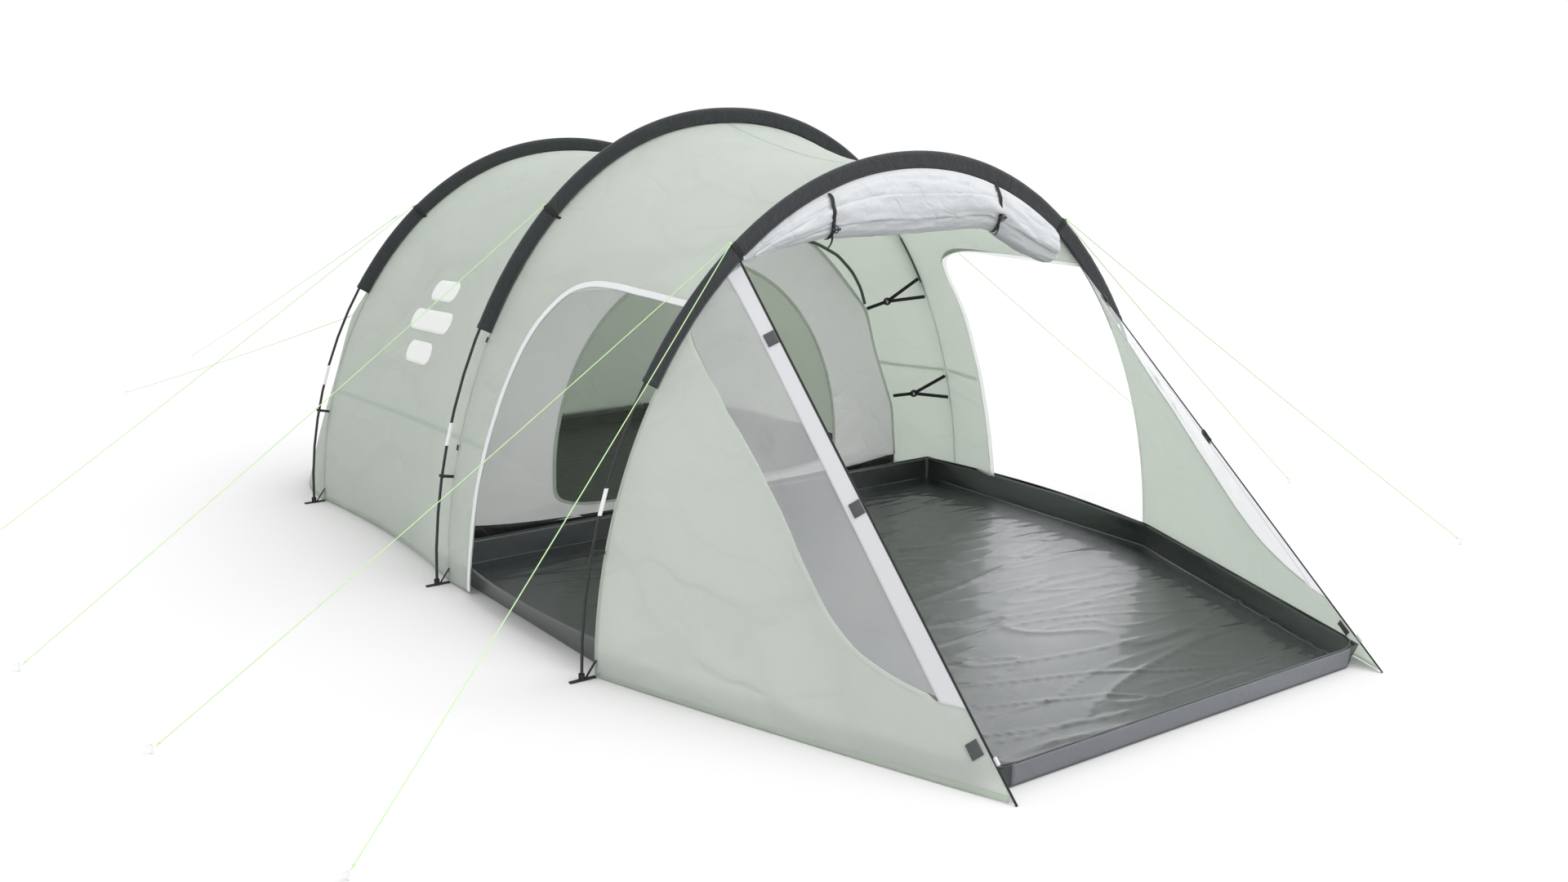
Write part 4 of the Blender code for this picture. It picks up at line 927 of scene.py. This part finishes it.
def make_wing(hand):
    # cloth below the window, with the solid foot of the zip band
    s = np.r_[np.linspace(0, 1, 71), np.full(7, 1.0)]
    extra = np.r_[np.zeros(71), np.linspace(0, 1, 8)[1:]]
    rows = np.linspace(0, 1, 57)
    P = []
    for g in rows:
        sill = np.where(extra > 0, 0.150, sill_at(s * 0.94))
        sill = np.where((extra == 0) & (s > 0.985), 0.152, sill)
        b = sill * g
        share = band_share(b)
        a = np.where(extra > 0, share + (1 - share) * extra, s * share)
        P.append(wing(a, b))
    surf(f"wing_cloth_{hand}", mirror(np.array(P), hand), "fly", replaces=[f"wing_{hand}"], held="stretched")
    # the window
    s = np.linspace(0, 1, 61)
    P = []
    for g in np.linspace(0, 1, 71):
        sill = sill_at(s * 0.94)
        b = sill + (0.988 - sill) * g
        P.append(pane(s * band_share(b), b))
    surf(f"window_pane_{hand}", mirror(np.array(P), hand), "window", 0.0, replaces=[f"window_{hand}"],
         held="stretched")
    # the pale zip band; the right wing's band uses the paler copy, painted light for a band that stands in shade
    b = np.linspace(0.150, 0.990, 150)
    share = band_share(b)
    share = share - 0.007 / np.linalg.norm(wing_base(np.ones_like(b), b) - wing_base(np.zeros_like(b), b), axis=1)
    P = np.stack([wing_base(share + (1 - share) * f, b) for f in np.linspace(0, 1, 9)], 1)
    P[:, :, 0] -= 0.0026
    surf(f"zip_band_{hand}", mirror(P, hand), "band" if hand == "left" else "band_lit_copy", 0.0016, held="stretched")
    # hems
    edge = smooth_line(WINDOW_EDGE, 120, 8)
    share = band_share(edge[:, 1])
    ab = np.stack([edge[:, 0] / 0.94 * share, edge[:, 1]], -1)
    ab = ab[ab[:, 0] < share.max()]
    wing_tape(f"window_hem_{hand}", hand, ab[2:-2], 0.012, "fly", lift=0.0016, shift=-0.0062, f=wing, thick=0.0)
    b = np.linspace(0.0, 1.0, 140)
    wing_tape(f"edge_binding_{hand}", hand, np.stack([np.ones(140), b], -1), 0.0055, "webbing", lift=0.0016, thick=0.0030, crown=0.0012,
              f=wing_base)
    a = np.linspace(0.01, 0.99, 100)
    wing_tape(f"wing_hem_{hand}", hand, np.stack([a, np.full(100, 0.0075)], -1), 0.018, "hem", lift=0.0018)


PATCHES = {"left": [(0.907, 0.828), (0.963, 0.492), (0.967, 0.080)], "right": [(0.925, 0.828), (0.972, 0.498), (0.966, 0.080)]}


def make_patches(hand):
    """Square webbing tabs on the zip band, folded over and stitched round."""
    for k, (a, b) in enumerate(PATCHES[hand]):
        foot, head = wing_base([1.0], [b - 0.01])[0], wing_base([1.0], [b + 0.01])[0]
        up = unit(head - foot)
        centre = wing_base([a], [b])[0]
        normal = wing_normal(wing_base, np.array([a]), np.array([b]))[0]
        wide = unit(np.cross(normal, up))
        half, high = 0.0172, 0.0222
        rows, back = [], []
        for u in np.linspace(-1, 1, 13):
            row, under = [], []
            for w in np.linspace(-1, 1, 13):
                edge = max(abs(u), abs(w))
                height = 0.0050 - 0.0012 * max(edge - 0.8, 0) / 0.2 + 0.0004 * math.sin(3.2 * u + 1.3 * w + k) - 0.0005 * (abs(edge - 0.82) < 0.05)
                row.append(centre + up * (u * high) + wide * (w * half) + normal * (height + 0.0010))
                under.append(centre + up * (u * high) + wide * (w * half) - normal * (height - 0.0015))
            rows.append(row)
            back.append(under)
        surf(f"wing_patch_{hand}_{k + 1}", mirror(np.array(rows), hand), "patch", 0.0022)
        surf(f"wing_patch_inside_{hand}_{k + 1}", mirror(np.array(back), hand), "patch", 0.0018)


for hand in ("left", "right"):
    make_wing(hand)
    make_patches(hand)

# ---------------------------------------------------------------- rolled front door
ROLL_LINE = np.array([(-0.656, 1.206), (-0.620, 1.214), (-0.536, 1.236), (-0.420, 1.250), (-0.337, 1.255), (-0.053, 1.254), (0.180, 1.255), (0.300, 1.254),
                      (0.350, 1.236), (0.400, 1.209), (0.489, 1.164), (0.560, 1.137), (0.615, 1.118), (0.645, 1.124), (0.656, 1.150)])
ROLL_Y = FRONT[0] + 0.004
STRAP_X = {"left": -0.348, "right": 0.350}
_under, _ = arch(FRONT, np.linspace(0.15, 0.85, 1201), FLY_INSET - 0.002)


def roll_profile(x):
    """Underside and top of the roll at x."""
    low = float(np.interp(x, ROLL_LINE[:, 0], ROLL_LINE[:, 1]))
    top = float(np.interp(x, _under[:, 0], _under[:, 1]))
    return low, top


def roll_point(x, k, swell=0.0):
    low, top = roll_profile(x)
    pinch = 1.0 - 0.16 * sum(math.exp(-(((x - s) / 0.030) ** 2)) for s in STRAP_X.values())
    ends = min(1.0, (0.662 - abs(x)) / 0.05 + 0.35)
    half = (top - low) / 2
    mid = (top + low) / 2
    depth = min(0.052, half * 0.85 + 0.014) * pinch * ends
    a = 2 * math.pi * k
    c, s = math.cos(a), math.sin(a)
    y = depth * math.copysign(abs(c) ** 0.85, c)
    z = half * math.copysign(abs(s) ** 0.80, s)
    z = z if z > 0 else z * (1 - 0.05 * (1 - pinch) / 0.16)
    p = Vector((x, y, z))
    # cloth rolled round itself: long folds that run along the roll and part at the straps
    q = Vector((x * 2.4, 3.2 * c, 3.2 * s))
    fold = 0.0048 * noise.fractal(q + Vector((3, 1, 7)), 0.9, 2.1, 3)
    line = noise.noise(Vector((x * 3.0 + 0.9 * s, 5.0 * s + 1.3 * x, 2.0 * c)))
    fold += 0.0060 * (1 - min(abs(line) * 3.0, 1)) ** 2
    line = noise.noise(Vector((x * 9.0 - 4 * s, 4.0 * s + 5.0 * x, 11.0 + 2.0 * c)))
    fold += 0.0022 * (1 - min(abs(line) * 3.0, 1)) ** 2
    fold -= 0.0040
    r = math.hypot(c, s)
    outward = Vector((0.0, c / r, s / r * 0.6))
    if s > 0.86:
        fold = min(fold, 0.0) * 0.3
    p += outward * (fold * ends + swell)
    return (p.x, ROLL_Y + p.y, mid + p.z)


def make_roll():
    xs = np.r_[np.linspace(-0.650, 0.652, 190)]
    P = np.array([[roll_point(x, k / 56) for k in range(56)] for x in xs])
    # ends: the cloth turns in on itself in two steps
    head, tail = [], []
    for shrink, out in ((0.55, 0.006), (0.80, 0.009), (0.97, 0.007)):
        head.append(P[0] * shrink + P[0].mean(0) * (1 - shrink) - np.array([out, 0, 0]))
        tail.append(P[-1] * shrink + P[-1].mean(0) * (1 - shrink) + np.array([out, 0, 0]))
    P = np.concatenate([np.array(head), P, np.array(tail[::-1])])
    surf("front_door_rolled", P, "roll", 0.0, replaces=["front_door_roll"], wrap=True, caps=True)
    # the free edge of the door, a flap that lies along the front of the roll
    xs = np.linspace(-0.630, 0.630, 150)
    rows = []
    for x in xs:
        row = []
        for g in np.linspace(0, 1, 8):
            k = 0.5 + 0.065 - 0.105 * g + 0.010 * math.sin(x * 9 + 1.0)
            row.append(roll_point(x, k, 0.0022 + 0.0050 * math.sin(math.pi * g) * (0.6 + 0.4 * math.sin(x * 23))))
        rows.append(row)
    surf("front_door_edge", np.array(rows), "roll", 0.0016, held="folded")


make_roll()


def make_strap(word):
    x = STRAP_X[word]
    line = []
    for k in np.linspace(0.315, 0.735, 26):
        line.append(roll_point(x, k, 0.0072))
    line = smooth_line(line, 40, 4)
    across = np.tile([1.0, 0.0, 0.0], (40, 1))
    ribbon(f"door_strap_{word}", line, across, 0.0125, "webbing", thick=0.0018, replaces=[f"roll_strap_{word}"])
    # tail with a turned end below the toggle
    base = Vector((x, ROLL_Y - 0.0395, 1.272))
    drop = [base, base + Vector((-0.005, -0.008, -0.011)), base + Vector((-0.013, -0.012, -0.025)), base + Vector((-0.021, -0.008, -0.038))]
    line = smooth_line([tuple(p) for p in drop], 14, 2)
    ribbon(f"door_strap_tail_{word}", line, np.tile([1.0, 0.0, 0.35], (14, 1)), 0.0085, "webbing", thick=0.0018, crown=0.0008)
    # elastic loop over the toggle
    loop = [(x + 0.0065 * math.cos(a), ROLL_Y - 0.0615 - 0.0035 * math.cos(2 * a), 1.291 + 0.012 * math.sin(a)) for a in np.linspace(0, 2 * math.pi, 25)[:-1]]
    rod(f"door_strap_loop_{word}", loop, 0.0016, "webbing", cyclic=True)


for word in STRAP_X:
    make_strap(word)

# ---------------------------------------------------------------- sleeping compartment
INNER_EDGE = np.array([(1.012, 0.102), (0.993, 0.337), (0.952, 0.444), (0.892, 0.599), (0.842, 0.781),
                       (0.763, 0.871), (0.671, 0.975), (0.568, 1.074), (0.400, 1.176), (0.200, 1.245), (0.0, 1.268)])
INNER_RINGS = [(INNER_Y + 0.003, 1.0, 1.0), (0.700, 1.0, 1.02), (1.100, 0.99, 0.99), (1.400, 0.97, 0.94),
               (1.580, 0.935, 0.76), (1.740, 0.905, 0.54), (1.900, 0.865, 0.28), (2.020, 0.80, 0.10), (2.074, 0.735, 0.0)]


def inner_arch(count, passes=3):
    half = smooth_line(INNER_EDGE, count, passes)
    return np.vstack([half * np.array([-1, 1]), half[::-1][1:]])


def tray_top(x):
    """Upper edge of the black tray across the front: high at the corners, slack between them."""
    s = np.abs(np.asarray(x, float)) / 1.005
    return 0.090 + 0.034 * np.clip(s, 0, 1) ** 4


def door_ring(grow=0.0, count=160):
    w, rise, level, sill = DOOR
    w, rise, sill = w + grow, rise + grow, sill - grow
    ring = []
    for k in range(count):
        a = 2 * math.pi * k / count + math.pi / count
        c, s = math.cos(a), math.sin(a)
        if s >= 0:
            ring.append((w * c, level + rise * s))
        else:
            ring.append((w * math.copysign(abs(c) ** 0.45, c), level - (level - sill) * abs(s) ** 0.45))
    return np.array(ring)


def inner_ripple(P, amount):
    return amount * (wobble(P, 2.6, 11.0, stretch=(1, 1, 0.5), octaves=3) + 0.7 * ridge(P, 3.4, 12.0, stretch=(1.0, 1.0, 0.35), sharp=2.0))


def make_inner():
    ring = door_ring(0.002)
    mid = np.array([0.0, DOOR[2]])
    outline = inner_arch(90)
    bottom = np.stack([np.linspace(1.0, -1.0, 140)[1:-1], tray_top(np.linspace(1.0, -1.0, 140)[1:-1]) - 0.004], -1)
    outline[0, 1] = outline[-1, 1] = 0.116
    loop = np.vstack([outline, bottom])
    angles = np.arctan2(loop[:, 1] - mid[1], loop[:, 0] - mid[0])
    order = np.argsort(angles)
    reach = np.hypot(loop[:, 0] - mid[0], loop[:, 1] - mid[1])[order]
    want = np.arctan2(ring[:, 1] - mid[1], ring[:, 0] - mid[0])
    r = np.interp(want, np.r_[angles[order][-1] - 2 * math.pi, angles[order], angles[order][0] + 2 * math.pi], np.r_[reach[-1], reach, reach[0]])
    outer = mid + np.stack([np.cos(want), np.sin(want)], -1) * r[:, None]
    rows = []
    for g in np.linspace(0, 1, 21):
        p = ring * (1 - g) + outer * g
        q = np.stack([p[:, 0], np.full(len(p), INNER_Y), p[:, 1]], -1)
        q[:, 1] += inner_ripple(q, 0.0075) * math.sin(math.pi * g) ** 0.5
        rows.append(q)
    surf("inner_front_panel", np.array(rows), "inner_front", 0.0012, replaces=["inner_front_wall"], wrap=True,
         held="hung")
    # piping round the door and along the arch
    q = np.stack([ring[:, 0], np.full(len(ring), INNER_Y - 0.0018), ring[:, 1]], -1)
    closed = np.vstack([q, q[:1]])
    out = unit(np.stack([closed[:, 0], 0 * closed[:, 0], closed[:, 2] - 0.45], -1))
    ribbon("inner_door_zip", closed, out, 0.014, "hem", thick=0.0014, cols=4)
    edge = inner_arch(90)[1:-1]
    q = np.stack([edge[:, 0], np.full(len(edge), INNER_Y - 0.0016), edge[:, 1]], -1)
    out = unit(np.stack([edge[:, 0], 0 * edge[:, 0], edge[:, 1] - 0.3], -1))
    ribbon("inner_front_piping", q - out * 0.006, out, 0.012, "hem", thick=0.0014, cols=4)
    # canopy
    base = inner_arch(46, 4)
    rings = np.array(INNER_RINGS)
    ys = np.linspace(rings[0, 0], rings[-1, 0], 60)
    wide = np.interp(ys, rings[:, 0], rings[:, 1])
    tall = np.interp(ys, rings[:, 0], rings[:, 2])
    for _ in range(3):
        tall[1:-1] = (tall[:-2] + 2 * tall[1:-1] + tall[2:]) / 4
    P = np.array([[(x * w, y, 0.104 + (z - 0.102) * h) for x, z in base] for y, w, h in zip(ys, wide, tall)])
    flat = P.reshape(-1, 3)
    sag = inner_ripple(flat, 0.010) * np.clip((flat[:, 1] - INNER_Y) / 0.1, 0, 1)
    flat[:, 2] -= np.maximum(sag, -0.004) * np.clip((flat[:, 2] - 0.104) / 0.05, 0, 1)
    # a skirt all round, tucked down inside the tray's walls
    skirt = P[:, [0, -1]] * np.array([0.996, 1.0, 0.0]) + np.array([0.0, 0.0, 0.058])
    P = np.concatenate([skirt[:, :1], P, skirt[:, 1:]], 1)
    P = np.concatenate([P, P[-1:] * np.array([1.0, 1.0, 0.0]) + np.array([0.0, 0.001, 0.058])])
    surf("inner_canopy_cloth", P, "inner", 0.0012, replaces=["inner_canopy"], held="hung")
    # mesh door
    ring = door_ring(-0.003, 120)
    mid = np.array([0.0, DOOR[2] + 0.15])
    rows = []
    for g in np.linspace(0.02, 1, 18):
        p = mid + (ring - mid) * g
        q = np.stack([p[:, 0], np.full(len(p), INNER_Y), p[:, 1]], -1)
        q[:, 1] += (0.014 * (1 - g ** 2) + inner_ripple(q, 0.004) * (1 - g))
        rows.append(q)
    surf("inner_mesh_panel", np.array(rows), "mesh", 0.0, replaces=["inner_mesh_door"], wrap=True, held="hung",
         caps=False)


make_inner()


def tray(name, outline, height, mat, replaces, lean, wrinkle, floor_z, step=0.02, top=None):
    """An open tray from one cloth: a rumpled floor, turned up all round into walls with tucked corners."""
    ys = sorted({p[1] for p in outline}, reverse=True)
    back, front = ys[0], ys[-1]
    half = sorted([(p[1], p[0]) for p in outline if p[0] > 0])
    hy, hx = np.array([h[0] for h in half]), np.array([h[1] for h in half])
    count = max(int((back - front) / step), 12)
    rows_y = np.linspace(back, front, count)
    for corner in ys[1:-1]:
        rows_y[np.argmin(abs(rows_y - corner))] = corner
    cols_u = np.linspace(-1, 1, max(int(2.2 / step), 20))
    wall = [0.06, 0.16, 0.32, 0.50, 0.68, 0.86, 1.0]
    u = np.r_[[-(1 + w) for w in wall[::-1]], cols_u, [1 + w for w in wall]]
    vs = [("back", w) for w in wall[::-1]] + [("floor", y) for y in rows_y] + [("front", w) for w in wall]
    P = []
    for kind, value in vs:
        y = back if kind == "back" else front if kind == "front" else value
        w = float(np.interp(y, hy, hx))
        lift_v = value if kind != "floor" else 0.0
        row = []
        for s in u:
            side_lift = max(abs(s) - 1, 0.0)
            x = max(-1, min(1, s)) * w
            rise = max(side_lift, lift_v)
            h = height(x, y)
            z = floor_z + rise * h
            px, py = x, y
            if side_lift > 0 and kind == "floor":
                px += math.copysign(lean(y) * (1.30 if s > 0 else 1.0) * rise ** 1.3, s)
                px += 0.004 * noise.noise(Vector((y * 5.0, s * 3.0, 2.0))) * rise
            elif lift_v > 0 and side_lift == 0:
                py += (0.004 * lift_v + 0.006 * noise.noise(Vector((x * 4.0, 3.0, lift_v))) * lift_v * (1 - abs(s) ** 6)) * (1 if kind == "back" else -1)
            row.append((px, py, z))
        P.append(row)
    P = np.array(P)
    flat = P.reshape(-1, 3)
    on_floor = flat[:, 2] < floor_z + 0.002
    bumps = wrinkle(flat[on_floor])
    flat[on_floor, 2] += bumps
    return surf(name, P, mat, 0.0016, replaces=replaces, held="laid")


def porch_height(x, y):
    return float(np.interp(y, [-2.192, -0.982, 0.290], [0.064, 0.088, 0.090]))


def porch_lean(y):
    if y > -0.982:
        s = (0.290 - y) / (0.290 + 0.982)
        return 0.004 - 0.050 * math.sin(math.pi * s) ** 0.9
    return float(np.interp(y, [-2.192, -0.982], [0.036, 0.004]))


def porch_wrinkle(P):
    inside = np.clip((np.abs(P[:, 0]) * -1 + 1.05) / 0.15, 0, 1)
    out = 0.0016 * (0.5 + 0.5 * wobble(P, 1.6, 21.0, octaves=2))
    for k, angle in enumerate((1.45, 1.78, 1.60)):
        c, s = math.cos(angle), math.sin(angle)
        Q = np.stack([c * P[:, 0] - s * P[:, 1], s * P[:, 0] + c * P[:, 1], P[:, 2] * 0], -1)
        out += (0.0046, 0.0036, 0.0028)[k] * ridge(Q, (4.2, 6.0, 8.0)[k], 22.0 + k, stretch=(1.0, 0.20, 1.0), sharp=14.0)
    return out * np.clip(inside, 0.15, 1)


porch = FLOOR + [(-x, y) for x, y in reversed(FLOOR)]
tray("porch_groundsheet_film", porch, porch_height, "film", ["porch_groundsheet"], porch_lean, porch_wrinkle, 0.003,
     step=0.0125)
bed_outline = [(1.004, INNER_Y + 0.003), (1.000, 1.300), (0.900, INNER_BACK - 0.12), (0.720, INNER_BACK)]
bed_outline = bed_outline + [(-x, y) for x, y in reversed(bed_outline)]
tray("inner_floor_tray", bed_outline, lambda x, y: float(tray_top(x)) if y < INNER_Y + 0.05 else 0.122 if y < 1.9 else 0.080, "tray",
     ["inner_floor"], lambda y: 0.0, lambda P: 0.004 * ridge(P, 4.0, 31.0, stretch=(1, 0.4, 1), sharp=2.0), 0.0045, step=0.03)

# a second layer on the outside of the front wall, a paler copy of the film: painted reflection of the bright floor and
# horizon on the wall's outer face
rows = []
for lift in (0.05, 0.16, 0.32, 0.50, 0.68, 0.86, 0.97):
    row = []
    for s in np.linspace(-0.995, 0.995, 90):
        x = s * 0.702
        out = 0.004 * lift + 0.006 * noise.noise(Vector((x * 4.0, 3.0, lift))) * lift * (1 - abs(s) ** 6)
        row.append((x, -2.192 - out - 0.0022, 0.003 + lift * 0.064))
    rows.append(row)
surf("groundsheet_front_band", np.array(rows), "film_painted_reflection", 0.0012)

# a bound rim round the groundsheet
rim = []
for x, y in FLOOR:
    rim.append((x, y))
path = [(FLOOR[0][0], FLOOR[0][1])]
pts = []
for i in range(len(porch)):
    (x0, y0), (x1, y1) = porch[i], porch[(i + 1) % len(porch)]
    for s in np.linspace(0, 1, 40, endpoint=False):
        x, y = x0 + (x1 - x0) * s, y0 + (y1 - y0) * s
        lean = porch_lean(y) if abs(abs(x0) - abs(x1)) < 0.5 and x0 * x1 > 0 else 0.0
        lean *= 1.30 if x > 0 else 1.0
        pts.append((x + math.copysign(lean, x), y + (0.004 if y > 0.28 else -0.004 if y < -2.18 else 0.0), 0.003 + porch_height(x, y)))
pts.append(pts[0])
pts = np.array(pts)
for _ in range(1):
    pts[1:-1] = (pts[:-2] + 2 * pts[1:-1] + pts[2:]) / 4
rod("groundsheet_rim", pts[:-1] + np.array([0, 0, 0.001]), 0.0026, "film", cyclic=True)

# ---------------------------------------------------------------- hanging points of the inner
HANG = {"upper": ((0.888, 0.270, 0.818), (0.842, 0.350, 0.781), (0.973, 0.153, 0.922), (1.011, 0.153, 0.843)),
        "lower": ((1.046, 0.270, 0.400), (0.996, 0.350, 0.382), (1.126, 0.153, 0.488), (1.150, 0.153, 0.392))}


def flat_arm(name, a, b, wide, body=BODY):
    a, b = Vector(a), Vector(b)
    line = np.array([tuple(a.lerp(b, s)) for s in np.linspace(0, 1, 10)])
    d = (b - a).normalized()
    across = d.cross(Vector((0.75, 0.55, 0.1))).normalized()
    return ribbon(name, line, np.tile(tuple(across), (10, 1)), wide, "webbing", thick=0.0022, cols=3)


for hand in ("left", "right"):
    sg = -1 if hand == "left" else 1
    for level, (ring, inner, upper, lower) in HANG.items():
        at = Vector((ring[0] * sg, ring[1], ring[2]))
        facing = Vector((0.5 * sg, 0.85, 0.1)).normalized()
        turn = facing.to_track_quat("Z", "Y").to_matrix()
        loop = [at + turn @ Vector((0.0130 * math.cos(a), 0.0130 * math.sin(a), 0)) for a in np.linspace(0, 2 * math.pi, 25)[:-1]]
        ring_obj = rod(f"hanger_ring_{level}_{hand}", loop, 0.0042, "plastic", cyclic=True, replaces=[f"inner_hanger_{level}_{hand}"])
        knot_mesh(f"hanger_toggle_{level}_{hand}", at, 0.0056, facing, "steel")
        for word, end in (("inner", inner), ("upper", upper), ("lower", lower)):
            climb, _ = arch(MIDDLE, np.linspace(0.0, 0.5, 801), FLY_INSET)
            limit = -float(np.interp(end[2], climb[:, 1], climb[:, 0])) - 0.010
            end = (min(end[0], limit), end[1], end[2])
            flat_arm(f"hanger_{word}_arm_{level}_{hand}", at, (end[0] * sg, end[1], end[2]), 0.0140)
    # a dark olive arc at y 0.25, between the fly and the inner's front wall
    line = [(0.400 * sg, 0.250, 1.118), (0.498 * sg, 0.250, 1.090), (0.607 * sg, 0.250, 1.034), (0.684 * sg, 0.250, 0.960), (0.729 * sg, 0.250, 0.888), (0.751 * sg, 0.250, 0.822)]
    line = smooth_line(line if hand == "right" else line[:-2] + [(-0.700, 0.250, 0.935)], 40, 4)
    rod(f"inner_roof_tape_{hand}", line, 0.0065, "olive")

# ---------------------------------------------------------------- feet: the straps from the fly's corners
for key, hoop in HOOPS.items():
    for hand, sg in (("left", -1), ("right", 1)):
        x = (hoop[1] - POLE_INSET) * sg
        inner = (hoop[1] - FLY_INSET) * sg
        a, b = Vector((x - 0.012 * sg, hoop[0] - 0.004, 0.0075)), Vector((inner, hoop[0] - 0.004, 0.055))
        line = np.array([tuple(a.lerp(b, s)) for s in np.linspace(0, 1, 9)])
        ribbon(f"{key}_foot_strap_{hand}", line, np.tile([0, 1.0, 0], (9, 1)), 0.010, "webbing", thick=0.0016)

# ---------------------------------------------------------------- floor, light and world
bpy.ops.mesh.primitive_plane_add(size=120.0, location=(0, 0, -0.0005))
floor = bpy.context.object
floor.name = "studio_floor"
ground = bpy.data.materials.new("studio_floor")
ground.use_nodes = True
ground.node_tree.nodes["Principled BSDF"].inputs["Base Color"].default_value = (0.735, 0.735, 0.735, 1.0)
ground.node_tree.nodes["Principled BSDF"].inputs["Roughness"].default_value = 0.85
ground.node_tree.nodes["Principled BSDF"].inputs["Specular IOR Level"].default_value = 0.1
floor.data.materials.append(ground)

world = bpy.data.worlds.new("studio")
bpy.context.scene.world = world
world.use_nodes = True
world.node_tree.nodes["Background"].inputs["Color"].default_value = (1.0, 1.0, 1.0, 1.0)
world.node_tree.nodes["Background"].inputs["Strength"].default_value = 1.02

sun_data = bpy.data.lights.new("key_light", "SUN")
sun_data.energy = 1.6
sun_data.angle = math.radians(50)
sun = bpy.data.objects.new("key_light", sun_data)
sun.rotation_euler = Vector((0.55, -0.45, 1.0)).to_track_quat("Z", "Y").to_euler()
bpy.context.scene.collection.objects.link(sun)

# a tall soft panel behind the right-hand doorway, which only glossy surfaces mirror
panel_data = bpy.data.lights.new("mirror_panel", "AREA")
panel_data.shape = "RECTANGLE"
panel_data.size, panel_data.size_y = 6.5, 6.5
panel_data.energy = 6.5 * 6.5 * math.pi * 0.80
panel = bpy.data.objects.new("mirror_panel", panel_data)
panel.location = (6.6, 5.2, 3.6)
panel.rotation_euler = (Vector((6.6, 5.2, 3.6)) - Vector((-0.2, -1.2, 0.0))).to_track_quat("Z", "Y").to_euler()
panel.visible_camera = False
panel.visible_diffuse = False
panel.visible_transmission = False
bpy.context.scene.collection.objects.link(panel)

bpy.context.scene.view_settings.view_transform = "Standard"
bpy.context.scene.view_settings.look = "None"
